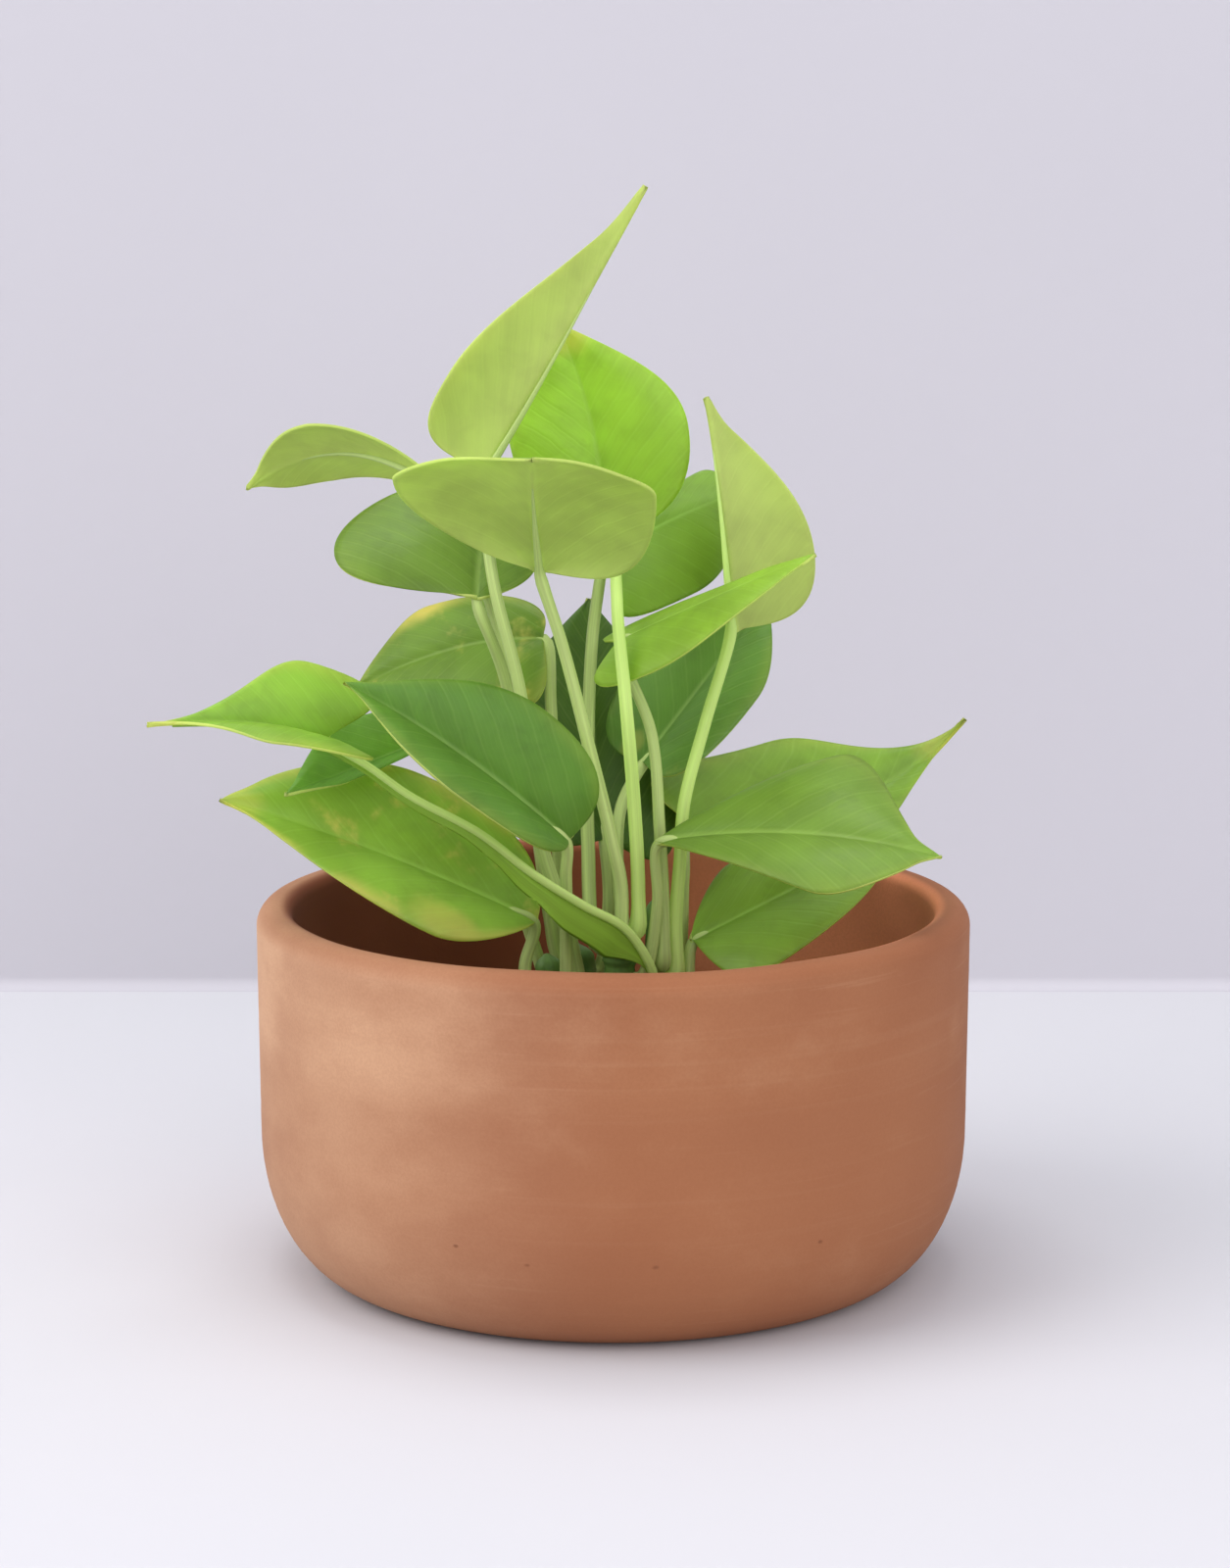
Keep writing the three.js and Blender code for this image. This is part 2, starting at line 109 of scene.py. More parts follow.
class PlantSettings(bpy.types.PropertyGroup):
    """Sizes and colours of the leaves, stalks and vines."""

    blade_thickness: length("Blade thickness", "Thickness of a leaf blade", 0.7 * MM)
    margin_wave: length("Margin wave", "Height of the waves along a leaf's edge", 0.7 * MM)
    quilting: length("Quilting", "How deep the veins lie in the upper side", 0.05 * MM)
    stalk_radius: length("Stalk radius", "Radius of a leaf stalk at its foot", 1.75 * MM)
    vine_radius: length("Vine radius", "Radius of a vine between its knuckles", 3.2 * MM)
    lime: colour("Young leaf", "Upper side of the youngest leaves", srgb(168, 208, 74))
    green: colour("Leaf", "Upper side of most leaves", srgb(140, 178, 66))
    dark: colour("Old leaf", "Upper side of the oldest leaves", srgb(122, 170, 70))
    olive: colour("Leaf back", "Under side of the leaves", srgb(214, 222, 132))
    yellow: colour("Yellowing", "Yellow patches and margins", srgb(222, 212, 112))
    stalk: colour("Stalk", "Leaf stalks", srgb(206, 226, 140))
    vine: colour("Vine", "Vines and their knuckles", srgb(104, 140, 66))


# ---- Nodes of a material ----
class Graph:
    """Short calls that add and join the nodes of one material."""

    def __init__(self, name):
        self.material = bpy.data.materials.new(name)
        self.material.use_nodes = True
        self.tree = self.material.node_tree
        self.tree.nodes.clear()

    def add(self, kind, inputs=(), **settings):
        node = self.tree.nodes.new("ShaderNode" + kind)
        for name, value in settings.items():
            setattr(node, name, value)
        for key, value in dict(inputs).items():
            self.feed(node.inputs[key], value)
        return node

    def feed(self, socket, value):
        if isinstance(value, bpy.types.NodeSocket):
            self.tree.links.new(value, socket)
        elif socket.type == "RGBA" and len(value) == 3:
            socket.default_value = (*value, 1)
        else:
            socket.default_value = value

    def math(self, operation, a, b=0.0):
        return self.add("Math", {0: a, 1: b}, operation=operation).outputs[0]

    def times(self, a, b):
        return self.math("MULTIPLY", a, b)

    def plus(self, a, b):
        return self.math("ADD", a, b)

    def minus(self, a, b):
        return self.math("SUBTRACT", a, b)

    def step(self, value, low, high, start=0.0, end=1.0):
        """The value carried smoothly from low..high to start..end."""
        inputs = {"Value": value, "From Min": low, "From Max": high, "To Min": start, "To Max": end}
        return self.add("MapRange", inputs, interpolation_type="SMOOTHSTEP").outputs["Result"]

    def mix(self, share, a, b, blend="MIX"):
        node = self.add("Mix", data_type="RGBA", blend_type=blend)
        for index, value in ((0, share), (6, a), (7, b)):
            self.feed(node.inputs[index], value)
        return node.outputs[2]

    def noise(self, vector, scale, detail=3.0, roughness=0.55, distortion=0.0):
        inputs = {"Vector": vector, "Scale": scale, "Detail": detail, "Roughness": roughness}
        inputs["Distortion"] = distortion
        return self.add("TexNoise", inputs).outputs["Fac"]

    def place(self, scale=(1, 1, 1), location=(0, 0, 0)):
        """Object coordinates, stretched and moved."""
        coords = self.add("TexCoord").outputs["Object"]
        inputs = {"Vector": coords, "Scale": scale, "Location": location}
        return self.add("Mapping", inputs).outputs["Vector"]

    def distance(self, vector, place):
        parts = {0: vector, 1: place}
        return self.add("VectorMath", parts, operation="DISTANCE").outputs["Value"]

    def bump(self, height, distance, strength):
        inputs = {"Height": height, "Distance": distance, "Strength": strength}
        return self.add("Bump", inputs).outputs["Normal"]

    def flesh(self, colour, inner, normal, roughness, specular, light):
        """Plant flesh that lets a share of the light through, in its inner colour."""
        gloss = self.add("BsdfPrincipled", {
            "Base Color": colour, "Normal": normal, "Roughness": roughness,
            "Specular IOR Level": specular,
        })
        through = self.add("BsdfTranslucent", {"Color": inner, "Normal": normal})
        both = self.add("MixShader", {0: light, 1: gloss.outputs[0], 2: through.outputs[0]})
        return self.surface(both.outputs[0])

    def surface(self, shader):
        output = self.add("OutputMaterial")
        self.tree.links.new(shader, output.inputs["Surface"])
        return self.material


# ---- Meshes ----
def smooth_step(value, low, high):
    t = min(1, max(0, (value - low) / (high - low)))
    return t * t * (3 - 2 * t)


def mesh_object(bm, name, materials, smooth=True):
    """The bmesh, which is freed, as an object in the scene."""
    mesh = bpy.data.meshes.new(name)
    bm.to_mesh(mesh)
    bm.free()
    if smooth:
        mesh.shade_smooth()
    for material in materials:
        mesh.materials.append(material)
    made = bpy.data.objects.new(name, mesh)
    bpy.context.scene.collection.objects.link(made)
    return made


def new_piece(bm, name, materials, nodes=(), smooth=True):
    """Makes the bmesh an object that rides on the frame and stands for the CAD nodes."""
    piece = mesh_object(bm, name, materials, smooth)
    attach(piece, "root")
    if nodes:
        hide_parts(*nodes)
    return piece


def arc(x, z, across, up, start, end, steps):
    """Points of part of an ellipse round (x, z), from one angle to another in degrees."""
    angles = [math.radians(start + (end - start) * i / steps) for i in range(steps + 1)]
    return [Vector((x + across * math.cos(a), 0, z + up * math.sin(a))) for a in angles]


def spun(profile, segments):
    """A bmesh of a profile in the XZ plane, spun once round Z and closed at the axis."""
    bm = bmesh.new()
    ring = [bm.verts.new(point) for point in profile]
    edges = [bm.edges.new(pair) for pair in zip(ring, ring[1:])]
    bmesh.ops.spin(
        bm, geom=ring + edges, cent=(0, 0, 0), axis=(0, 0, 1), angle=2 * math.pi,
        steps=segments, use_merge=True,
    )
    bmesh.ops.remove_doubles(bm, verts=bm.verts[:], dist=1e-6)
    bmesh.ops.recalc_face_normals(bm, faces=bm.faces[:])
    return bm


def divided(points, longest):
    """The same line with extra points, so that no stretch is over a length."""
    out = [points[0]]
    for a, b in zip(points, points[1:]):
        count = max(1, math.ceil((b - a).length / longest))
        out += [a.lerp(b, i / count) for i in range(1, count + 1)]
    return out


def smooth_route(points, steps):
    """Evenly spaced points on a smooth curve through the given ones."""
    pts = [points[0] * 2 - points[1], *points, points[-1] * 2 - points[-2]]
    fine = []
    for p0, p1, p2, p3 in zip(pts, pts[1:], pts[2:], pts[3:]):
        knots = [0.0]
        for a, b in ((p0, p1), (p1, p2), (p2, p3)):
            knots.append(knots[-1] + max((b - a).length, 1e-6) ** 0.5)
        t0, t1, t2, t3 = knots
        for i in range(24):
            t = t1 + (t2 - t1) * i / 24
            a1 = p0.lerp(p1, (t - t0) / (t1 - t0))
            a2 = p1.lerp(p2, (t - t1) / (t2 - t1))
            a3 = p2.lerp(p3, (t - t2) / (t3 - t2))
            b1 = a1.lerp(a2, (t - t0) / (t2 - t0))
            b2 = a2.lerp(a3, (t - t1) / (t3 - t1))
            fine.append(b1.lerp(b2, (t - t1) / (t2 - t1)))
    fine.append(points[-1].copy())
    runs = [0.0]
    for a, b in zip(fine, fine[1:]):
        runs.append(runs[-1] + (b - a).length)
    out, j = [], 0
    for i in range(steps + 1):
        goal = runs[-1] * i / steps
        while j < len(runs) - 2 and runs[j + 1] < goal:
            j += 1
        out.append(fine[j].lerp(fine[j + 1], (goal - runs[j]) / (runs[j + 1] - runs[j])))
    return out


def write_uv(bm, name, places):
    """Stores the coordinates of each vertex as a UV map."""
    layer = bm.loops.layers.uv.new(name)
    for face in bm.faces:
        for loop in face.loops:
            loop[layer].uv = places[loop.vert]


def heading(route, i):
    """The direction of a route at one of its points."""
    return (route[min(i + 1, len(route) - 1)] - route[max(i - 1, 0)]).normalized()


def carried_tops(route, last):
    """The upward direction of each ring of a rod, carried back from the last one without twist."""
    tops = []
    top = last
    for i in range(len(route) - 1, -1, -1):
        ahead = heading(route, i)
        top = (top - ahead * top.dot(ahead)).normalized()
        tops.append(top)
    return tops[::-1]


def rod(route, radius_at, sides, tops):
    """A closed rod along a route. radius_at(share, angle) is its radius; angle 0 is its top."""
    steps = len(route) - 1
    bm = bmesh.new()
    bmesh.ops.create_cone(
        bm, cap_ends=True, cap_tris=True, segments=sides, radius1=1, radius2=1, depth=1
    )
    lengthwise = [e for e in bm.edges if abs(e.verts[0].co.z - e.verts[1].co.z) > 0.5]
    bmesh.ops.subdivide_edges(bm, edges=lengthwise, cuts=steps - 1, use_grid_fill=True)
    layer = bm.loops.layers.uv.new("rod")
    turn_of = {}
    for vert in bm.verts:
        ring = round((vert.co.z + 0.5) * steps)
        turn = math.atan2(vert.co.y, vert.co.x) / (2 * math.pi) % 1
        middle = math.hypot(vert.co.x, vert.co.y) < 0.5
        turn_of[vert] = (turn, ring / steps)
        side = heading(route, ring).cross(tops[ring])
        angle = 2 * math.pi * turn
        radius = 0 if middle else radius_at(ring / steps, angle)
        vert.co = route[ring] + (tops[ring] * math.cos(angle) + side * math.sin(angle)) * radius
    for face in bm.faces:
        turns = [turn_of[loop.vert][0] for loop in face.loops]
        crossing = max(turns) - min(turns) > 0.5
        for loop, turn in zip(face.loops, turns):
            whole = 1 if crossing and turn < 0.5 else 0
            loop[layer].uv = (turn + whole, turn_of[loop.vert][1])
    bmesh.ops.recalc_face_normals(bm, faces=bm.faces[:])
    return bm


def joined(parts):
    """One bmesh of several, which are freed."""
    whole = bmesh.new()
    for bm in parts:
        mesh = bpy.data.meshes.new("part")
        bm.to_mesh(mesh)
        bm.free()
        whole.from_mesh(mesh)
        bpy.data.meshes.remove(mesh)
    return whole


# ---- Bowl ----
# Small open pits in the wall: the angle from the front, the height in mm and the size in mm.
PITS = (
    (-0.43, 26, 0.9), (-0.23, 23, 1.0), (0.115, 23, 1.1), (0.59, 25, 0.9), (-0.9, 51, 0.6),
    (0.33, 44, 0.5), (1.5, 33, 0.9), (2.3, 24, 1.0), (-2.7, 29, 1.1), (-1.8, 24, 0.8),
)
PIT_WALL = 83.7
# The dark colour painted into the pits, as the shade inside them.
PIT_PAINTED_SHADE = srgb(96, 52, 32)
GRIT_SHADE = srgb(120, 70, 44)
# Chips on the rim: the angle from the front and half the width, both in radians.
RIM_CHIPS = ((0.11, 0.030), (0.2, 0.022), (0.31, 0.016), (2.7, 0.03), (-2.2, 0.02))


def bowl_profile(sizes):
    """The bowl's section, from the middle of the foot outside, over the rim, to inside."""
    radius, height, foot = BOWL_RADIUS, BOWL_HEIGHT, sizes.foot_radius
    narrow = radius - 0.4 * MM
    inner = radius - sizes.wall
    bend = 24 * MM
    lip = 3 * MM
    edge = sizes.rim_round
    points = [Vector((0, 0, 0)), Vector((foot, 0, 0))]
    points += arc(foot, sizes.corner_height, narrow - foot, sizes.corner_height, -88, 0, 20)
    points += arc(radius - edge, height - edge, edge, edge, 0, 90, 8)
    points += arc(inner + lip, height - lip, lip, lip, 90, 180, 6)
    points += arc(inner - bend, sizes.floor_thickness + bend, bend, bend, 0, -90, 10)
    points.append(Vector((0, 0, sizes.floor_thickness)))
    return divided(points, 2.2 * MM)


def weather_bowl(bm):
    """Throwing lines, a slightly uneven rim and rubbed chips on it."""
    for vert in bm.verts:
        co = vert.co
        across = math.hypot(co.x, co.y)
        if across < 1e-4 or co.z < 1e-5:
            continue
        out = Vector((co.x, co.y, 0)) / across
        angle = math.atan2(co.x, -co.y)
        outside = across > BOWL_RADIUS - 5 * MM
        drift = noise.noise(Vector((co.x, co.y, 0)) * 9) * 0.25 * MM
        lines = noise.noise(Vector((angle * 0.7, 0, co.z * 900))) * 0.05 * MM
        shift = out * (drift + lines)
        rim = smooth_step(co.z, BOWL_HEIGHT - 6 * MM, BOWL_HEIGHT)
        shift.z += rim * noise.noise(out * 2.3) * 0.3 * MM
        for place, width in RIM_CHIPS:
            near = max(0, 1 - abs(angle - place) / width)
            shift -= (out + Vector((0, 0, 1))) * near * rim * outside * 0.35 * MM
        vert.co = co + shift


def clay_material(settings):
    g = Graph("fired_clay")
    space = g.place()
    blotch = g.noise(space, 13, 2, 0.5)
    cloud = g.noise(g.place((1, 1, 1.6), (0.3, 0.1, 0)), 26, 5, 0.6)
    rings = g.noise(g.place((4, 4, 420)), 1, 3, 0.7)
    lines = g.noise(g.place((26, 26, 900), (0, 0, 0.2)), 1, 2, 0.5)
    grain = g.noise(space, 1500, 3, 0.6)
    colour = g.mix(g.step(blotch, 0.3, 0.66), settings.clay_red, settings.clay)
    colour = g.mix(g.step(cloud, 0.45, 0.8, 0, 0.22), colour, settings.clay_pale)
    colour = g.mix(g.step(rings, 0.5, 0.85, 0, 0.09), colour, settings.clay_pale)
    colour = g.mix(g.step(lines, 0.62, 0.8, 0, 0.12), colour, settings.clay_pale)
    sideways, _, height = g.add("SeparateXYZ", {0: space}).outputs
    # Painted light: the bowl's left side, where the lamp light falls, is mixed towards the pale
    # clay.
    lit_left_side = g.times(g.step(sideways, 10 * MM, -82 * MM), g.step(cloud, 0.3, 0.7, 0.6, 1.0))
    colour = g.mix(lit_left_side, colour, settings.clay_pale)
    # Painted shade: the rim's top is darkened with the rim clay.
    rim = g.step(height, BOWL_HEIGHT - 5 * MM, BOWL_HEIGHT - 1 * MM, 0, 0.55)
    colour = g.mix(rim, colour, settings.clay_rim_shade)
    flat = g.add("VectorMath", {0: space, 1: (1, 1, 0)}, operation="MULTIPLY").outputs[0]
    reach = g.add("VectorMath", {0: flat}, operation="LENGTH").outputs["Value"]
    inside = g.step(reach, BOWL_RADIUS - 5 * MM, BOWL_RADIUS - 8 * MM)
    inside = g.times(inside, g.step(height, 36 * MM, 44 * MM))
    # Painted shade on the inside's left wall and painted light on its right wall.
    inner = g.mix(g.step(sideways, -40 * MM, 50 * MM), settings.clay_inside_shade, settings.clay_inside_lit)
    colour = g.mix(g.times(inside, 0.9), colour, inner)
    holes = 0.0
    for angle, up, size in PITS:
        place = Vector((math.sin(angle) * PIT_WALL, -math.cos(angle) * PIT_WALL, up)) * MM
        far = g.distance(g.place((1, 1, 1.5), (0, 0, -0.5 * place.z)), place)
        holes = g.math("MAXIMUM", holes, g.step(far, size * MM, size * 0.3 * MM))
    # Painted shade darkens the small pits.
    colour = g.mix(g.times(holes, 0.6), colour, PIT_PAINTED_SHADE)
    colour = g.mix(g.step(grain, 0.35, 0.65, 0.1, 0), colour, GRIT_SHADE)
    # Redder from 12 mm above the soil's edge downwards, inside the bowl and out.
    redder_low = g.step(height, SOIL_EDGE + 12 * MM, SOIL_EDGE, 0, 0.3)
    colour = g.mix(redder_low, colour, settings.clay_red)
    relief = g.plus(g.times(grain, 0.5), g.times(rings, 0.5))
    relief = g.minus(relief, g.times(holes, 2.0))
    normal = g.bump(relief, 0.12 * MM, 0.55)
    shader = g.add("BsdfPrincipled", {
        "Base Color": colour, "Roughness": g.step(cloud, 0.3, 0.7, 0.74, 0.9), "Normal": normal,
        "Specular IOR Level": 0.25,
    })
    return g.surface(shader.outputs[0])


class POTHOS_OT_bowl(bpy.types.Operator):
    """Add the thrown terracotta bowl"""

    bl_idname = "pothos.bowl"
    bl_label = "Terracotta bowl"

    def execute(self, context):
        settings = context.scene.pothos_bowl
        bm = spun(bowl_profile(settings), settings.segments)
        weather_bowl(bm)
        new_piece(bm, "bowl", [clay_material(settings)], ["terracotta_bowl"])
        return {"FINISHED"}


# ---- Soil ----
SOIL_RADIUS = SOIL_HIGH.x


def soil_height(x, y):
    """Height of the soil's surface at a place."""
    share = min(1, math.hypot(x, y) / SOIL_RADIUS)
    lumps = noise.fractal(Vector((x, y, 0)) * 120, 0.9, 2.1, 4) * 1.3 * MM
    return SOIL_EDGE - 0.8 * MM + SOIL_MOUND * (1 - share * share) + lumps


def soil_body():
    """The body of soil, with a lumpy top."""
    low = SOIL_LOW.z
    bend = 24 * MM
    side = arc(SOIL_RADIUS - bend, low + bend, bend, bend, -90, 0, 6)
    rings = [Vector((SOIL_RADIUS * i / 64, 0, SOIL_EDGE)) for i in range(63, -1, -1)]
    bm = spun([Vector((0, 0, low)), *side, Vector((SOIL_RADIUS, 0, SOIL_EDGE)), *rings], 180)
    for vert in bm.verts:
        if vert.co.z > SOIL_EDGE - 1e-5:
            vert.co.z = soil_height(vert.co.x, vert.co.y)
    return bm


def scattered(count, seed, size, flat, rough):
    """Small angular lumps on the soil. size is (smallest, largest) across."""
    rng = random.Random(seed)
    parts = []
    for _ in range(count):
        bm = bmesh.new()
        bmesh.ops.create_icosphere(bm, subdivisions=1, radius=0.5)
        across = rng.uniform(*size)
        for vert in bm.verts:
            vert.co *= 1 + rng.uniform(-rough, rough)
        stretch = Vector((rng.uniform(0.7, 1.5), rng.uniform(0.6, 1.0), rng.uniform(*flat)))
        bmesh.ops.scale(bm, vec=stretch * across, verts=bm.verts)
        spin = Matrix.Rotation(rng.uniform(0, 6.28), 3, "Z")
        tilt = Matrix.Rotation(rng.gauss(0, 0.35), 3, "X")
        bmesh.ops.rotate(bm, matrix=spin @ tilt, verts=bm.verts)
        reach = (SOIL_RADIUS - 3 * MM) * math.sqrt(rng.random())
        angle = rng.uniform(0, 2 * math.pi)
        x, y = reach * math.cos(angle), reach * math.sin(angle)
        bmesh.ops.translate(bm, vec=(x, y, soil_height(x, y) + across * 0.12), verts=bm.verts)
        parts.append(bm)
    return joined(parts)


def earth_material(name, main, other, scale, roughness=0.95):
    """A crumbly, dull material of two colours."""
    g = Graph(name)
    space = g.place()
    clumps = g.noise(space, scale, 5, 0.7)
    grain = g.noise(space, scale * 7, 4, 0.7)
    colour = g.mix(g.step(clumps, 0.35, 0.65), main, other)
    colour = g.mix(g.step(grain, 0.4, 0.75, 0, 0.45), colour, tuple(c * 1.9 + 0.01 for c in other))
    normal = g.bump(g.plus(clumps, grain), 0.9 * MM, 0.7)
    dull = g.step(grain, 0.2, 0.8, roughness - 0.12, roughness)
    shader = g.add("BsdfPrincipled", {"Base Color": colour, "Normal": normal, "Roughness": dull})
    return g.surface(shader.outputs[0])


class POTHOS_OT_soil(bpy.types.Operator):
    """Add the potting mix with its crumbs, bark chips and white perlite"""

    bl_idname = "pothos.soil"
    bl_label = "Potting mix"

    def execute(self, context):
        mix = tuple(context.scene.pothos_bowl.mix)
        dark = tuple(c * 0.45 for c in mix)
        earth = earth_material("potting_mix", dark, mix, 260)
        new_piece(soil_body(), "soil", [earth], ["potting_soil"])
        crumbs = scattered(900, 11, (1.5 * MM, 4.5 * MM), (0.5, 0.9), 0.22)
        new_piece(crumbs, "soil_crumbs", [earth], smooth=False)
        chips = scattered(140, 12, (4 * MM, 8 * MM), (0.22, 0.4), 0.2)
        bark = earth_material("bark", srgb(74, 44, 28), srgb(112, 72, 46), 420)
        new_piece(chips, "soil_bark", [bark], smooth=False)
        beads = scattered(150, 13, (1.4 * MM, 3.2 * MM), (0.7, 1.0), 0.18)
        perlite = earth_material("perlite", srgb(214, 208, 196), srgb(236, 232, 222), 600, 0.9)
        new_piece(beads, "soil_perlite", [perlite], smooth=False)
        return {"FINISHED"}


# ---- The plant's plan ----
# Millimetres, zero height at the soil's edge: the same plan that the frame was built to.
VINES = {
    "left": ((-13, 2, 0), (-16, 4, 22)),
    "middle": ((1, 0, 0), (2, 1, 31)),
    "right": ((11, 5, 0), (11, 5, 36)),
    "rear": ((-7, 14, 0), (-9, 16, 22)),
}
VINE_ROOTED = 14
KNUCKLE_RADIUS = 4.2
WING_WIDTHS = (0.3, 1.2, 8.0, 7.0, 4.6, 3.0, 2.2, 1.8, 1.5, 1.2)  # from the foot to the blade


def stem(vine, height, angle, *via):
    """A stalk's plan: its vine, its height and direction there, and the places that it passes."""
    return {"vine": vine, "height": height, "angle": angle, "via": via}


LEAVES = (
  dict(name="top_spear", tone="lime",
    base=(-31, 6, 138), mid=(-16, 1, 162), tip=(7, -8, 204),
    left=(-20, 14, 157), right=(-38, 4, 162), lobes=(0.1, 0.18), blunt=(0.2, 0.2),
    stalk=stem("left", 8, 20,
      (-11, 1, 30), (-17, -2, 50), (-22, -2, 87), (-28, -2, 112), (-30, 2, 127))),
  dict(name="top_round", tone="lime",
    base=(-2, 22, 121), mid=(-5, 23, 147), tip=(-13, 20, 172),
    left=(-25, 22, 144), right=(18, 18, 148), lobes=(0, 0), blunt=(0.35, 0.35),
    stalk=stem("middle", 20, 170,
      (-6, 5, 50), (-6, 12, 72), (-5, 20, 96))),
  dict(name="top_front", tone="olive",
    base=(-17, -6, 116), mid=(-18, -24, 132), tip=(-18, -46, 146),
    left=(10, -26, 134), right=(-50, -30, 140), lobes=(0.16, -0.15), blunt=(0.7, 0.7),
    stalk=stem("middle", 22, 270,
      (2, -6, 40), (0, -7.5, 51), (-6, -8, 76), (-12, -7, 99))),
  dict(name="left_upper", tone="green",
    base=(-32, 0, 109), mid=(-31, 12, 121), tip=(-29, 24, 134),
    left=(-66, 6, 120), right=(-18, 12, 116), lobes=(0.1, -0.1), blunt=(0.8, 0.9),
    stalk=stem("rear", 12, 230, (-18, 9, 50), (-26, 5, 90))),
  dict(name="far_left", tone="olive",
    base=(-42, 28, 133), mid=(-66, 38, 140), tip=(-89, 44, 131),
    left=(-74, 30, 148), right=(-69, 50, 132), lobes=(-0.3, 0), blunt=(0.4, 0.4),
    stalk=stem("rear", 13, 140,
      (-19, 15, 55), (-24, 12, 85), (-30, 13, 108), (-38, 20, 125))),
  dict(name="right_upper", tone="green",
    base=(2, 18, 119), mid=(17, 25, 126), tip=(32, 31, 131),
    left=(21, 40, 135), right=(20, 23, 107), lobes=(-0.3, 0.3), blunt=(0.6, 0.6),
    stalk=stem("middle", 24, 310,
      (6, -5, 40), (5, -9, 61), (3, -13, 86), (1, 1, 107))),
  dict(name="right_pale", tone="olive",
    base=(29, 8, 100), mid=(26, 2, 128), tip=(22, 4, 155),
    left=(48, 10, 118), right=(32, 22, 117), lobes=(0.02, 0.05), blunt=(0.2, 0.2),
    stalk=stem("right", 12, 315,
      (15, 0, 31), (16, 0, 45), (17, 2, 59), (22, 5, 78))),
  dict(name="right_front_upper", tone="lime",
    base=(1, 6, 98), mid=(24, -6, 110), tip=(46, -18, 121),
    left=(16, 8, 107), right=(8, -12, 93), lobes=(0.17, 0.13), blunt=(0.2, 0.2),
    stalk=stem("right", 16, 280,
      (12, -1, 34), (11, 0, 53), (9, 4, 76))),
  dict(name="left_front", tone="dark",
    base=(-10, -18, 54), mid=(-35, -32, 77), tip=(-60, -44, 95),
    left=(-36, -46, 70), right=(-16, -20, 85), lobes=(-0.05, 0.05), blunt=(0.25, 0.25),
    stalk=stem("left", 8, 300, (-11, -8, 32), (-11, -14, 45))),
  dict(name="right_rear_upper", tone="dark",
    base=(7, 16, 67), mid=(23, 28, 86), tip=(38, 38, 105),
    left=(10, 40, 94), right=(35, 20, 82), lobes=(0.05, 0.08), blunt=(0.3, 0.3),
    stalk=stem("middle", 18, 80, (1, 6, 45), (2, 9, 57))),
  dict(name="long_left", tone="green",
    base=(-66, -24, 79), mid=(-85, -32, 84), tip=(-105, -40, 85),
    left=(-74, -44, 82), right=(-70, -18, 96), lobes=(0.3, 0.35), blunt=(-0.4, -0.4),
    sheath=stem("right", 8, 262,
      (9, -6, 21), (3, -10, 31), (-7, -16, 38), (-19, -22, 47), (-31, -25, 57),
        (-47, -26, 66), (-57, -25, 73))),
  dict(name="left_low", tone="green",
    base=(-18, -4, 32), mid=(-55, -16, 51), tip=(-90, -26, 65),
    left=(-42, -28, 34), right=(-47, 4, 66), lobes=(-0.12, 0), blunt=(0.15, 0.5),
    stalk=stem("left", 2, 215, (-21, -3, 20))),
  dict(name="left_rear", tone="green",
    base=(-17, 24, 96), mid=(-39, 34, 92), tip=(-63, 44, 81),
    left=(-34, 18, 77), right=(-45, 44, 101), lobes=(0.1, 0.1), blunt=(0.5, 0.4),
    stalk=stem("rear", 14, 110, (-14, 14, 55), (-15, 20, 80))),
  dict(name="left_small_dark", tone="dark",
    base=(-46, 10, 73), mid=(-61, -12, 70), tip=(-75, -28, 67),
    left=(-61, -17, 68), right=(-64, -6, 80), lobes=(0.05, 0.05), blunt=(0.2, 0.2),
    stalk=stem("rear", 2, 180, (-24, 17, 35), (-38, 17, 61))),
  dict(name="right_front", tone="green",
    base=(10, -8, 52), mid=(42, -24, 57), tip=(74, -36, 54),
    left=(56, -4, 72), right=(46, -42, 47), lobes=(-0.3, -0.3), blunt=(-0.1, 0.4),
    stalk=stem("middle", 12, 340, (10.5, -4, 36))),
  dict(name="centre_dark", tone="dark",
    base=(-2, 20, 47), mid=(-5, 36, 73), tip=(-6, 52, 102),
    left=(-24, 30, 72), right=(15, 31, 66), lobes=(0.1, 0.2), blunt=(0.4, 0.4),
    stalk=stem("rear", 10, 30, (-1, 19, 32))),
  dict(name="right_rear", tone="green",
    base=(19, 14, 52), mid=(56, 42, 51), tip=(88, 54, 71),
    left=(38, 48, 66), right=(61, 36, 42), lobes=(0.08, -0.1), blunt=(-0.3, -0.3),
    stalk=stem("right", 12, 40, (17, 9, 40))),
  dict(name="right_low", tone="green",
    base=(19, 2, 26), mid=(43, 8, 37), tip=(69, 14, 49),
    left=(28, 16, 42), right=(37, -12, 22), lobes=(-0.12, 0), blunt=(0.6, 0.6),
    stalk=stem("right", 2, 345, (18, 2, 16))),
)

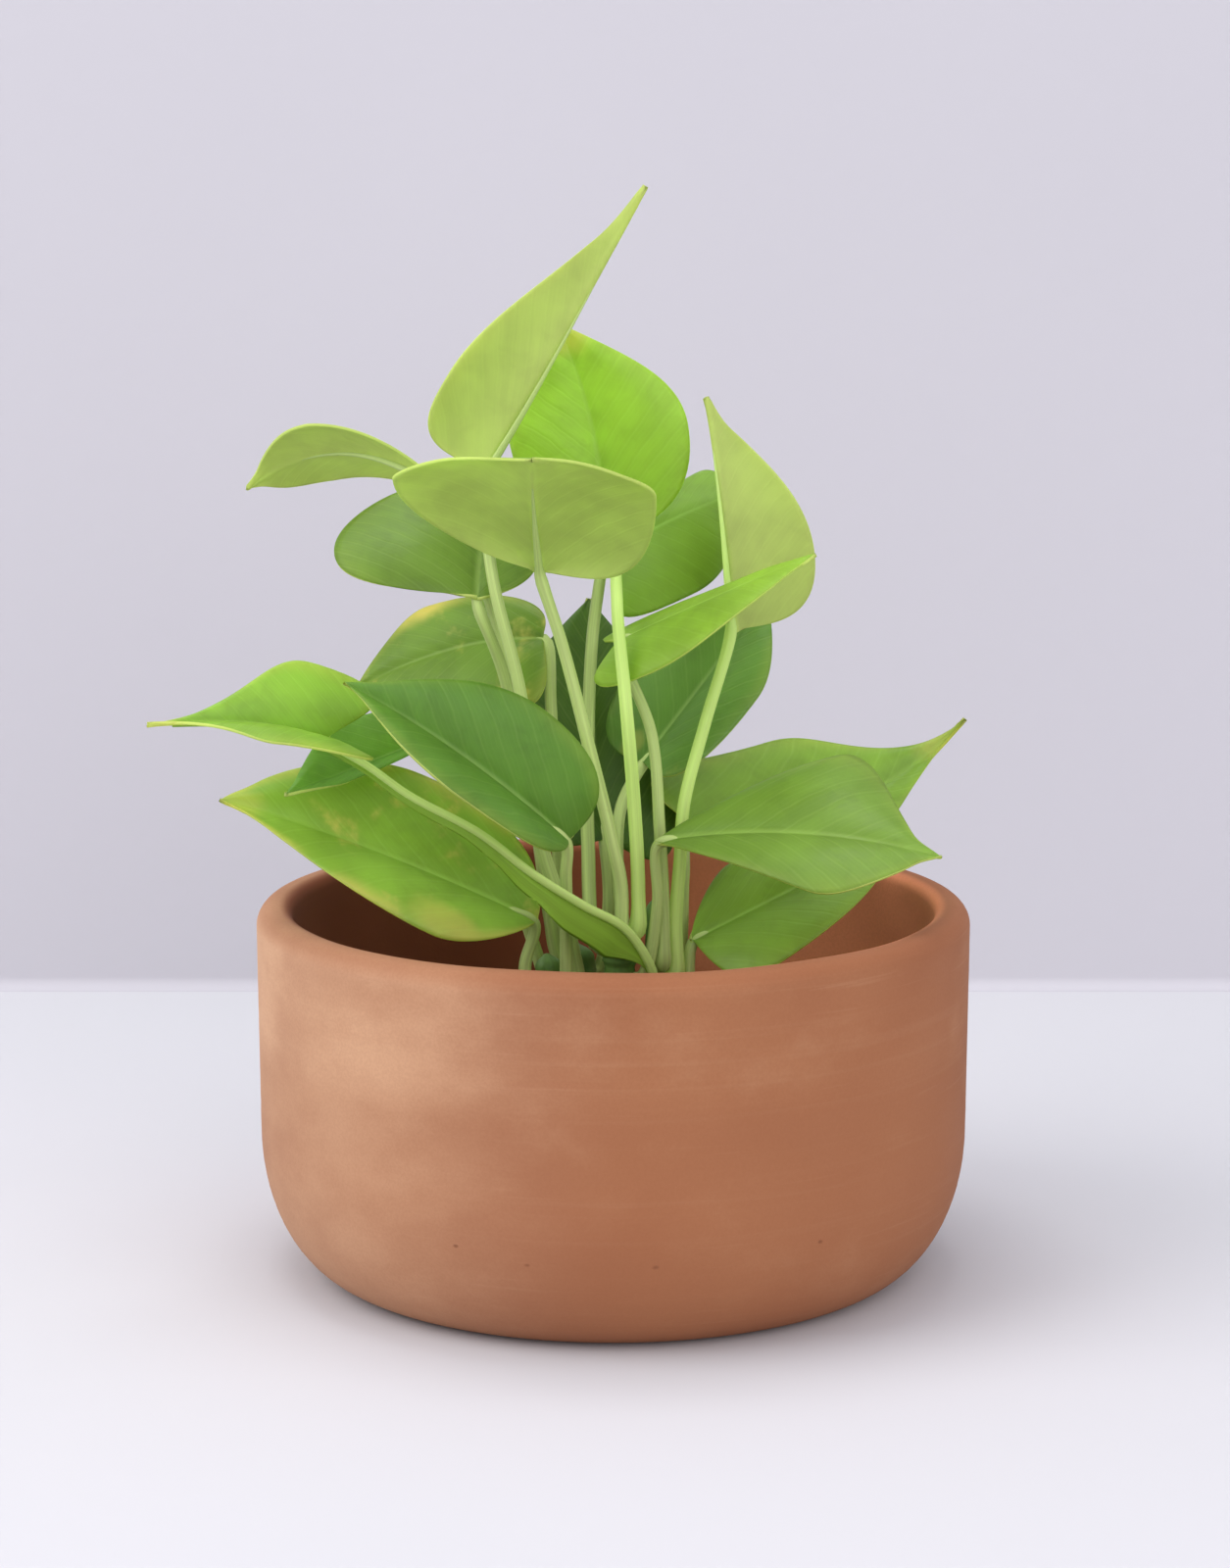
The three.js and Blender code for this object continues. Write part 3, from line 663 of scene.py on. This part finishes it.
# Yellowing of the margin, yellow patches, brightness and how drawn out the tip is. The brightness
# is partly each leaf's own tone and partly painted light and shade: lower for leaves lying in
# shade, higher for leaves that catch the light.
LOOKS = {
    "top_spear": (0.1, 0.1, 0.78, 0.008),
    "top_round": (0.1, 0.35, 1.05, 0),
    "top_front": (0, 0, 1.1, 0),
    "left_upper": (0.05, 0.1, 0.7, 0),
    "far_left": (0, 0, 1, 0.02),
    "right_upper": (0, 0.1, 1.05, 0),
    "right_pale": (0, 0.05, 1, 0.01),
    "right_front_upper": (0.05, 0.1, 0.88, 0.01),
    "left_front": (0.12, 0.05, 0.82, 0.01),
    "right_rear_upper": (0.1, 0.3, 0.8, 0),
    "long_left": (0.2, 0.15, 1.2, 0.015),
    "left_low": (0.6, 0.5, 1.25, 0.01),
    "left_rear": (0.3, 0.6, 0.8, 0),
    "left_small_dark": (0, 0, 1.1, 0.01),
    "right_front": (0.1, 0.1, 0.86, 0.02),
    "centre_dark": (0, 0, 0.42, 0),
    "right_rear": (0.15, 0.25, 1.0, 0.005),
    "right_low": (0.05, 0.1, 1.05, 0.02),
}
# Yellow patches at a place on a blade: across (0 to 1 from right to left), along, size, strength.
BLEMISHES = {
    "left_rear": ((0.02, 0.62, 0.26, 1.0),),
    "top_round": ((0.5, 1.0, 0.2, 0.5),),
    "left_low": ((0.88, 0.28, 0.16, 0.5), (0.95, 0.6, 0.14, 0.45), (0.5, 0.95, 0.12, 0.35)),
    "right_rear": ((0.5, 0.98, 0.16, 0.35), (0.3, 0.08, 0.2, 0.4)),
    "long_left": ((0.5, 0.98, 0.2, 0.3),),
    "right_rear_upper": ((0.62, 0.05, 0.08, 0.3),),
}
WIDEST_TURN = 0.42
LOBE_SPREAD = 0.3
STATION_CROWDING = 1.25
BLADE_BULGE = 0.1
VEIN_PAIRS = 9


def plant_point(place):
    return Vector(place) * MM + Vector((0, 0, SOIL_EDGE))


def seed_of(name):
    """A whole number from a leaf's name, so that each leaf has its own waves and mottling."""
    return sum(map(ord, name)) % 97


def bezier(a, b, c, d, t):
    return a * (1 - t) ** 3 + 3 * b * t * (1 - t) ** 2 + 3 * c * t * t * (1 - t) + d * t ** 3


# ---- Leaf blades ----
class Half:
    """One half of a blade: its side, its widest place along the midrib and its reach from it."""

    def __init__(self, blade, widest, lobe, blunt, side, drawn_out):
        axis = blade.tip - blade.base
        share = (widest - blade.base).dot(axis) / axis.length_squared
        self.station = min(0.75, max(0.1, share))
        self.reach = widest - blade.midrib(self.station)
        self.lobe = lobe
        self.blunt = blunt
        self.side = side
        self.drawn_out = drawn_out

    def outline(self, u):
        """The outline from the notch (u = 0) to the tip (1): along the midrib, and across."""
        widest, blunt = self.station, self.blunt
        if u < WIDEST_TURN:
            t = u / WIDEST_TURN
            along = bezier(0, -0.25 * self.lobe, -1.9 * self.lobe, widest, t)
            return along, bezier(0, LOBE_SPREAD, 1, 1, t)
        t = (u - WIDEST_TURN) / (1 - WIDEST_TURN)
        shoulder = widest + (0.38 + 0.1 * blunt) * (1 - widest)
        toward_tip = widest + (0.58 + 0.42 * blunt) * (1 - widest)
        drip = smooth_step(t, 0.72, 1.0)
        along = bezier(widest, shoulder, toward_tip, 1, t) + self.drawn_out * drip
        pinch = 1 - min(0.5, 9 * self.drawn_out) * math.sin(math.pi * drip)
        return along, bezier(1, 1, 0.28 + 0.4 * blunt, 0, t) * pinch


class Blade:
    """A leaf blade as a surface."""

    def __init__(self, leaf, settings):
        places = [plant_point(leaf[key]) for key in ("base", "mid", "tip", "left", "right")]
        self.base, mid, self.tip, left, right = places
        self.bend = mid * 2 - (self.base + self.tip) / 2
        self.settings = settings
        self.seed = seed_of(leaf["name"])
        drawn_out = LOOKS[leaf["name"]][3]
        self.halves = [
            Half(self, widest, leaf["lobes"][i], leaf["blunt"][i], 1 - 2 * i, drawn_out)
            for i, widest in enumerate((left, right))
        ]

    def slope(self, s):
        return (self.bend - self.base) * 2 * (1 - s) + (self.tip - self.bend) * 2 * s

    def midrib(self, s):
        if s < 0:
            return self.base + self.slope(0) * s
        if s > 1:
            return self.tip + self.slope(1) * (s - 1)
        return self.base * (1 - s) ** 2 + self.bend * 2 * s * (1 - s) + self.tip * s * s

    def half_normal(self, half, s):
        return (self.slope(max(s, 0)).cross(half.reach) * half.side).normalized()

    def normal(self, s, across=0.0):
        left, right = (self.half_normal(half, s) for half in self.halves)
        share = smooth_step(across, -0.12, 0.12)
        return (left * share + right * (1 - share)).normalized()

    def point(self, u, across):
        """The place at u from base to tip and across from -1 to 1, and (lateral, along) there."""
        half = self.halves[0 if across >= 0 else 1]
        q = abs(across)
        along, lateral = half.outline(u)
        s = u ** STATION_CROWDING * (1 + half.drawn_out)
        edge = self.midrib(along) + half.reach * lateral
        width = half.reach.length * lateral
        bulge = BLADE_BULGE * width * 4 * q * (1 - q)
        place = self.midrib(s).lerp(edge, q) + self.half_normal(half, s) * bulge
        here = s + (along - s) * q
        relief = self.relief(u, q, lateral * q, here, width, half.side)
        return place + self.normal(s, across) * relief, (lateral * q * half.side, here)

    def relief(self, u, q, lateral, along, width, side):
        """Height of the midrib's channel, the quilting, the margin's waves and a slow drift."""
        sizes = self.settings
        channel = -0.35 * MM * math.exp(-((q * width / (1.1 * MM)) ** 2)) * (1 - u)
        veins = math.cos(2 * math.pi * VEIN_PAIRS * (along - 0.45 * lateral))
        quilt = -sizes.quilting * veins * math.sin(math.pi * min(1, q * 1.1)) ** 2
        turn = 1.7 * u + 0.13 * self.seed + 0.37 * side
        wave = sizes.margin_wave * math.sin(2 * math.pi * turn) * q ** 3 * min(1, width / (20 * MM))
        drift = noise.noise(Vector((u * 2.3, q * side * 1.4, self.seed * 1.7))) * 1.1 * MM * q
        return channel + quilt + wave + drift


def blade_bmesh(blade, rows=56, columns=36):
    """The upper skin of a blade, with its own coordinates in the UV map called blade."""
    bm = bmesh.new()
    bmesh.ops.create_grid(bm, x_segments=columns, y_segments=rows, size=0.5)
    edge = bm.verts.layers.float.new("edge")
    places = {}
    for vert in bm.verts:
        across = -2 * vert.co.x
        u = min(1, max(0, vert.co.y + 0.5))
        place, (lateral, along) = blade.point(u, across)
        places[vert] = (0.5 + 0.5 * lateral, along)
        vert[edge] = abs(across)
        vert.co = place
    write_uv(bm, "blade", places)
    bmesh.ops.remove_doubles(bm, verts=bm.verts[:], dist=0.02 * MM)
    return bm


def vein_masks(g, seed):
    """Shares of midrib, side veins and fine veins, the place along and where streaks run."""
    uv = g.add("UVMap", uv_map="blade").outputs["UV"]
    parts = g.add("SeparateXYZ", {0: uv})
    wobble = g.times(g.minus(g.noise(uv, 5, 2), 0.5), 0.05)
    lateral = g.math("ABSOLUTE", g.times(g.minus(parts.outputs[0], 0.5), 2))
    along = g.plus(parts.outputs[1], wobble)
    midrib = g.step(lateral, 0.045, 0.0)
    sweep = g.minus(along, g.times(g.math("POWER", lateral, 0.85), 0.45))
    main = g.math("PINGPONG", g.times(sweep, VEIN_PAIRS), 0.5)
    fine = g.math("PINGPONG", g.times(sweep, VEIN_PAIRS * 4.0), 0.5)
    streak_at = {0: g.times(sweep, 9), 1: g.times(lateral, 1.2), 2: float(seed)}
    streak_at = g.add("CombineXYZ", streak_at).outputs[0]
    return midrib, g.step(main, 0.12, 0.0), g.step(fine, 0.16, 0.0), along, streak_at


def leaf_material(leaf, settings, under):
    """One side of a blade: veins, mottling, yellowing, gloss and light through it."""
    name = leaf["name"]
    edge_yellow, patch_yellow, light_and_shade, _ = LOOKS[name]
    tone = "green" if leaf["tone"] == "olive" else leaf["tone"]
    # The brightness from LOOKS paints light and shade onto the leaf's colour.
    upper = Vector(getattr(settings, tone)) * light_and_shade
    seed = seed_of(name)
    g = Graph(("underside_" if under else "upperside_") + name)
    midrib, main, fine, along, streak_at = vein_masks(g, seed)
    space = g.place(location=(seed * 0.013, 0, 0))
    clouds = g.noise(space, 45, 3, 0.55)
    streaks = g.noise(streak_at, 1.0, 3, 0.6)
    base = Vector(settings.olive) * 0.8 + upper * 0.2 if under else upper
    weak = 0.5 if under else 1.0
    deep, light = shades(base, 1 - 0.08 * weak, 1 + 0.06 * weak)
    colour = g.mix(g.step(streaks, 0.3, 0.7), deep, light)
    blotches = g.noise(space, 26, 2, 0.5)
    colour = g.mix(g.step(blotches, 0.42, 0.66, 0, 0.7), colour, tuple(base * 0.84))
    dapple = g.noise(space, 120, 3, 0.6, 0.6)
    colour = g.mix(g.step(dapple, 0.42, 0.7, 0, 0.6 * weak), colour, tuple(base * 0.8))
    colour = g.mix(g.step(clouds, 0.45, 0.7, 0, 0.5), colour, tuple(base * 1.2))
    yellow = tuple(settings.yellow)
    patch = g.step(g.noise(space, 75, 4, 0.6), 0.72 - 0.3 * patch_yellow, 0.86 - 0.2 * patch_yellow)
    colour = g.mix(g.times(patch, min(1, patch_yellow * 1.6)), colour, yellow)
    for across, up, size, strength in BLEMISHES.get(name, ()):
        uv = g.add("UVMap", uv_map="blade").outputs["UV"]
        far = g.distance(uv, (across, up, 0))
        ragged = g.plus(far, g.times(g.minus(clouds, 0.5), size * 1.6))
        spot = g.step(ragged, size, size * 0.3, 0, strength)
        colour = g.mix(spot, colour, yellow)
    edge = g.add("Attribute", attribute_name="edge").outputs["Fac"]
    border = g.times(g.step(edge, 0.72, 1.0), g.step(clouds, 0.3, 0.6))
    colour = g.mix(g.times(border, edge_yellow), colour, yellow)
    # Painted highlight: a thin light line along the very margin.
    colour = g.mix(g.step(edge, 0.98, 1.0, 0, 0.3), colour, tuple(base * 1.5))
    pale = tuple(Vector(settings.stalk) * 0.55 + base * 0.75)
    colour = g.mix(g.times(main, 0.05 if under else 0.07), colour, pale)
    colour = g.mix(g.times(fine, 0.04), colour, pale)
    fade = g.step(along, 1.0, 0.1, 0.12, 0.5)
    colour = g.mix(g.times(midrib, fade), colour, pale)
    relief = g.plus(g.times(main, 0.8), g.times(fine, 0.2))
    grain = g.noise(space, 900, 2, 0.5)
    relief = g.plus(g.times(relief, 0.5 if under else -0.5), g.times(grain, 0.25))
    relief = g.plus(relief, g.times(dapple, 2.0))
    normal = g.bump(relief, 0.15 * MM, 0.5)
    rough, specular = ((0.55, 0.68), 0.25) if under else ((0.36, 0.5), 0.4)
    warm = g.mix(1.0, colour, (1.35, 1.35, 0.85), "MULTIPLY")
    return g.flesh(colour, warm, normal, g.step(clouds, 0.3, 0.7, *rough), specular, 0.42)


class POTHOS_OT_blades(bpy.types.Operator):
    """Add the leaf blades, each a thin quilted skin with a glossy face and a paler back"""

    bl_idname = "pothos.blades"
    bl_label = "Leaf blades"

    def execute(self, context):
        settings = context.scene.pothos_plant
        for leaf in LEAVES:
            materials = [leaf_material(leaf, settings, under) for under in (False, True)]
            name = "leaf_" + leaf["name"]
            skin = blade_bmesh(Blade(leaf, settings))
            blade = new_piece(skin, "blade_" + leaf["name"], materials, [name])
            solid = blade.modifiers.new("thickness", "SOLIDIFY")
            solid.thickness = settings.blade_thickness
            solid.offset = -1
            solid.use_quality_normals = True
            solid.material_offset = 1
            solid.material_offset_rim = 1
        return {"FINISHED"}


# ---- Stalks ----
STALK_RINGS = 60
RIB_RINGS = 26
RIB_START, RIB_SPAN = 0.1, 0.78  # where a stalk's rib starts on the midrib, and how far it runs
FOOT_INSIDE = 2.6 * MM  # from the vine's axis to where a stalk starts
FOOT_OUT, FOOT_RISE = 3.2 * MM, 1.5 * MM
RIB_DEPTH = 0.3 * MM  # from a blade's upper side down to the top of its rib


def vine_point(name, height):
    foot, top = (plant_point(place) for place in VINES[name])
    return foot.lerp(top, (height * MM + SOIL_MOUND) / (top.z - foot.z))


def stalk_route(leaf, blade, plan, under):
    """From inside the vine, past the via points, under the blade's base and along its midrib."""
    angle = math.radians(plan["angle"])
    out = Vector((math.cos(angle), math.sin(angle), 0))
    start = vine_point(plan["vine"], plan["height"]) + out * FOOT_INSIDE
    foot = start + out * FOOT_OUT + Vector((0, 0, FOOT_RISE))
    via = [plant_point(place) for place in plan["via"]]

    def rib_point(s):
        return blade.midrib(s) - blade.normal(s) * under(s)

    stalk = smooth_route([start, foot, *via, rib_point(0), rib_point(RIB_START)], STALK_RINGS)
    ribs = [RIB_START + RIB_SPAN * i / RIB_RINGS for i in range(1, RIB_RINGS + 1)]
    return stalk + [rib_point(s) for s in ribs], len(stalk) - 1


def stalk_bmesh(leaf, settings):
    """A stalk with a clasping foot and a groove along its upper side, going on as the midrib."""
    blade = Blade(leaf, settings)
    foot, neck = settings.stalk_radius, settings.stalk_radius * 0.78

    def rib_radius(s):
        return max(0.12 * MM, neck * 0.8 * (1 - s) ** 1.2)

    route, bend = stalk_route(leaf, blade, leaf["stalk"], lambda s: rib_radius(s) + RIB_DEPTH)
    rings = len(route) - 1

    def radius_at(share, angle):
        at = share * rings
        if at >= bend:
            return rib_radius(RIB_START + RIB_SPAN * (at - bend) / (rings - bend))
        run = at / bend
        size = foot + (neck - foot) * run
        size *= 1 + 0.45 * smooth_step(run, 0.1, 0.0) + 0.1 * smooth_step(run, 0.86, 0.94)
        size *= 1 - 0.42 * smooth_step(run, 0.93, 1.0)
        groove = math.exp(-((min(angle, 2 * math.pi - angle) / 0.55) ** 2))
        return size * (1 - 0.2 * groove * smooth_step(run, 0, 0.15))

    return rod(route, radius_at, 14, carried_tops(route, blade.normal(RIB_START)))


def sheath_bmesh(leaf, settings):
    """The winged stalk: a round rib with a thin wing hanging along its lower side."""
    blade = Blade(leaf, settings)
    route, bend = stalk_route(leaf, blade, leaf["sheath"], lambda s: 1.0 * MM * (1 - s) + RIB_DEPTH)
    rings = len(route) - 1
    facing = Vector((0.1, -1, 0.25)).normalized()
    wide = [facing.cross(heading(route, i)).normalized() for i in range(rings + 1)]

    def wing_width(ring):
        run = min(1, ring / bend) * (len(WING_WIDTHS) - 1)
        i = min(int(run), len(WING_WIDTHS) - 2)
        width = WING_WIDTHS[i] + (WING_WIDTHS[i + 1] - WING_WIDTHS[i]) * smooth_step(run, i, i + 1)
        return max(0.3, width * min(1, (rings - ring) / (rings - bend))) * MM

    def rib_radius(share, angle):
        return max(0.15 * MM, (1.2 - 0.5 * share) * MM * min(1, (1 - share) * 3.2))

    wing = bmesh.new()
    bmesh.ops.create_grid(wing, x_segments=10, y_segments=rings, size=0.5)
    shares = {}
    for vert in wing.verts:
        down, along = vert.co.x + 0.5, vert.co.y + 0.5
        ring = round(along * rings)
        width = wing_width(ring)
        curl = 0.1 * width * down * down + 0.4 * MM * math.sin(along * 40) * down ** 3
        shares[vert] = (down * 0.4, along)
        vert.co = route[ring] + wide[ring] * width * down - facing * curl
    write_uv(wing, "rod", shares)
    bmesh.ops.solidify(wing, geom=wing.faces[:], thickness=0.5 * MM)
    bmesh.ops.recalc_face_normals(wing, faces=wing.faces[:])
    rib = rod([p + facing * 0.2 * MM for p in route], rib_radius, 12, wide)
    for face in rib.faces:
        face.material_index = 1
    return joined([wing, rib])


def rod_material(name, main, dark, pale, light=0.25):
    """Streaked green flesh for stalks and vines, paler towards the blade."""
    g = Graph(name)
    uv = g.add("UVMap", uv_map="rod").outputs["UV"]
    streaks = g.noise(g.add("Mapping", {"Vector": uv, "Scale": (9, 2.2, 1)}).outputs[0], 1, 3, 0.6)
    specks = g.noise(g.place(), 420, 3, 0.6)
    along = g.add("SeparateXYZ", {0: uv}).outputs[1]
    colour = g.mix(g.step(streaks, 0.32, 0.66), dark, main)
    colour = g.mix(g.step(streaks, 0.55, 0.8, 0, 0.7), colour, pale)
    colour = g.mix(g.step(along, 0.45, 0.75, 0, 0.35), colour, main)
    colour = g.mix(g.step(specks, 0.62, 0.8, 0, 0.25), colour, dark)
    normal = g.bump(g.plus(streaks, g.times(specks, 0.4)), 0.15 * MM, 0.5)
    rough = g.step(specks, 0.3, 0.7, 0.42, 0.58)
    return g.flesh(colour, colour, normal, rough, 0.35, light)


# Painted light: these stalks, and the winged stalk's rib, get a lighter copy of the stalk flesh, as
# if in sun.
SUNLIT = ("right_upper", "right_pale")


class POTHOS_OT_stalks(bpy.types.Operator):
    """Add the leaf stalks, each going on as the midrib under its blade"""

    bl_idname = "pothos.stalks"
    bl_label = "Leaf stalks"

    def execute(self, context):
        settings = context.scene.pothos_plant
        green = rod_material("stalk_flesh", *shades(settings.stalk, 1, 0.72, 1.3))
        # A lighter copy of the stalk flesh, as painted light.
        lit_stalk_shades = shades(settings.stalk, 1.3, 1.1, 1.4)
        sunlit = rod_material("lit_stalk_flesh", *lit_stalk_shades, light=0.45)
        wing = rod_material("sheath_flesh", *shades(settings.lime, 1.0, 0.8, 1.2), light=0.45)
        for leaf in LEAVES:
            name = "stalk_" + leaf["name"]
            if "sheath" in leaf:
                shape, flesh = sheath_bmesh, [wing, sunlit]
            else:
                shape, flesh = stalk_bmesh, [sunlit if leaf["name"] in SUNLIT else green]
            new_piece(shape(leaf, settings), "petiole_" + leaf["name"], flesh, [name])
        return {"FINISHED"}


# ---- Vines ----
def vine_bmesh(name, settings):
    """A rooted vine with a swollen ring at each stalk's height and a closed round top."""
    foot, top = (plant_point(place) for place in VINES[name])
    rooted = Vector((foot.x, foot.y, SOIL_EDGE - VINE_ROOTED * MM))
    route = smooth_route([rooted, foot, top], 90)
    tall = top.z - rooted.z
    heights = [leaf.get("stalk") or leaf["sheath"] for leaf in LEAVES]
    heights = [plan["height"] * MM + SOIL_MOUND for plan in heights if plan["vine"] == name]
    swell = KNUCKLE_RADIUS * MM / settings.vine_radius - 1

    def swelling(z, below, width):
        """How near a height is to the closest knuckle, or to a place below it, from 0 to 1."""
        gaps = [z - SOIL_EDGE - h + below for h in heights]
        return max([0] + [math.exp(-((gap / width) ** 2)) for gap in gaps])

    def radius_at(share, angle):
        z = rooted.z + share * tall
        grown = swelling(z, 0, 2.6 * MM)
        ring = swelling(z, 3 * MM, 0.35 * MM)
        close = math.sqrt(max(0, 1 - smooth_step(share, 0.9, 1.0) ** 2 * 0.96))
        uneven = noise.noise(Vector((math.cos(angle), math.sin(angle), z * 160)) * 1.4) * 0.05
        return settings.vine_radius * (1 + swell * grown + 0.09 * ring + uneven) * close

    return rod(route, radius_at, 24, carried_tops(route, Vector((1, 0, 0))))


class POTHOS_OT_vines(bpy.types.Operator):
    """Add the short rooted vines that the stalks grow from"""

    bl_idname = "pothos.vines"
    bl_label = "Vines"

    def execute(self, context):
        settings = context.scene.pothos_plant
        bark = rod_material("vine_flesh", *shades(settings.vine, 1, 0.6, 1.45), light=0.08)
        for name in VINES:
            new_piece(vine_bmesh(name, settings), "stem_" + name, [bark], ["vine_" + name])
        return {"FINISHED"}


# ---- Stage ----
WALL_DISTANCE = 0.291
WALL_HEIGHT = 3
FLOOR_SIZE = 8
COVE_RADIUS = 0.004
CAMERA_PLACE = (0.0005, -0.918, 0.279)
CAMERA_TILT = 80  # degrees up from looking straight down


def paper(name, light, dark, one_sided=False):
    """A dull pale paper. A one-sided sheet can be looked through from its back."""
    g = Graph(name)
    colour = g.mix(g.step(g.noise(g.place(), 3, 2, 0.5), 0.35, 0.65), dark, light)
    inputs = {"Base Color": colour, "Roughness": 0.9, "Specular IOR Level": 0.1}
    shader = g.add("BsdfPrincipled", inputs)
    if not one_sided:
        return g.surface(shader.outputs[0])
    back = g.add("NewGeometry").outputs["Backfacing"]
    clear = g.add("BsdfTransparent").outputs[0]
    return g.surface(g.add("MixShader", {0: back, 1: shader.outputs[0], 2: clear}).outputs[0])


def sheet(name, width, outline, material):
    """A wide sheet on the stage that follows an outline of (y, z) places from front to back."""
    bm = bmesh.new()
    bmesh.ops.create_grid(bm, x_segments=2, y_segments=len(outline) - 1, size=0.5)
    for vert in bm.verts:
        y, z = outline[round((vert.co.y + 0.5) * (len(outline) - 1))]
        vert.co = Vector((vert.co.x * width, y, z))
    piece = mesh_object(bm, name, [material])


def area_light(name, place, target, size, power):
    light = bpy.data.lights.new(name, "AREA")
    light.shape = "DISK"
    light.size = size
    light.energy = power
    lamp = bpy.data.objects.new(name, light)
    lamp.location = place
    lamp.rotation_euler = (Vector(target) - Vector(place)).to_track_quat("-Z", "Y").to_euler()
    bpy.context.scene.collection.objects.link(lamp)


class POTHOS_OT_stage(bpy.types.Operator):
    """Add the pale floor and wall, the soft lights and the camera"""

    bl_idname = "pothos.stage"
    bl_label = "Stage"

    def execute(self, context):
        start = WALL_DISTANCE - COVE_RADIUS
        turns = [math.radians(90 * i / 12) for i in range(13)]
        cove = [(start + COVE_RADIUS * math.sin(a), COVE_RADIUS * (1 - math.cos(a))) for a in turns]
        rise = [(WALL_DISTANCE, WALL_HEIGHT * i / 8) for i in range(1, 9)]
        floor = paper("floor_paper", srgb(206, 205, 209), srgb(203, 203, 207))
        wall = paper("wall_paper", srgb(194, 191, 198), srgb(192, 189, 196), one_sided=True)
        sheet("floor", FLOOR_SIZE, [(-FLOOR_SIZE / 2, 0), (FLOOR_SIZE / 2, 0)], floor)
        sheet("wall", FLOOR_SIZE, cove + rise, wall)
        centre = (0, 0, 0.12)
        area_light("key", (-1.25, -0.5, 1.15), centre, 1.4, 14)
        area_light("fill", (0.7, -1.3, 0.7), centre, 1.8, 11)
        area_light("through", (-0.1, 0.2, 1.1), centre, 0.7, 5)
        world = bpy.data.worlds.new("studio")
        world.use_nodes = True
        back = world.node_tree.nodes["Background"]
        back.inputs["Color"].default_value = (0.94, 0.95, 1.0, 1)
        back.inputs["Strength"].default_value = 0.92
        context.scene.world = world
        context.scene.view_settings.view_transform = "Standard"
        data = bpy.data.cameras.new("camera")
        data.sensor_fit = "VERTICAL"
        data.sensor_height = 36
        data.lens = 90
        camera = bpy.data.objects.new("camera", data)
        camera.location = CAMERA_PLACE
        camera.rotation_euler = (math.radians(CAMERA_TILT), 0, 0)
        context.scene.collection.objects.link(camera)
        context.scene.camera = camera
        return {"FINISHED"}


# ---- Sidebar, registration and the order of work ----
OPERATORS = (
    POTHOS_OT_stage, POTHOS_OT_bowl, POTHOS_OT_soil, POTHOS_OT_vines, POTHOS_OT_stalks,
    POTHOS_OT_blades,
)


class POTHOS_PT_sidebar(bpy.types.Panel):
    """The sizes, the colours and the buttons that build each part"""

    bl_idname = "POTHOS_PT_sidebar"
    bl_label = "Potted pothos"
    bl_space_type = "VIEW_3D"
    bl_region_type = "UI"
    bl_category = "Pothos"

    def draw(self, context):
        for group in (context.scene.pothos_bowl, context.scene.pothos_plant):
            box = self.layout.box()
            for name in group.bl_rna.properties.keys():
                if name not in ("rna_type", "name"):
                    box.prop(group, name)
        for operator in OPERATORS:
            self.layout.operator(operator.bl_idname)


CLASSES = (BowlSettings, PlantSettings, *OPERATORS, POTHOS_PT_sidebar)


def register():
    for cls in CLASSES:
        bpy.utils.register_class(cls)
    bpy.types.Scene.pothos_bowl = PointerProperty(type=BowlSettings)
    bpy.types.Scene.pothos_plant = PointerProperty(type=PlantSettings)


def unregister():
    del bpy.types.Scene.pothos_plant
    del bpy.types.Scene.pothos_bowl
    for cls in reversed(CLASSES):
        bpy.utils.unregister_class(cls)


def main():
    register()
    bpy.ops.pothos.stage()
    bpy.ops.pothos.bowl()
    bpy.ops.pothos.soil()
    bpy.ops.pothos.vines()
    bpy.ops.pothos.stalks()
    bpy.ops.pothos.blades()
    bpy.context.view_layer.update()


if __name__ == "__main__":
    main()
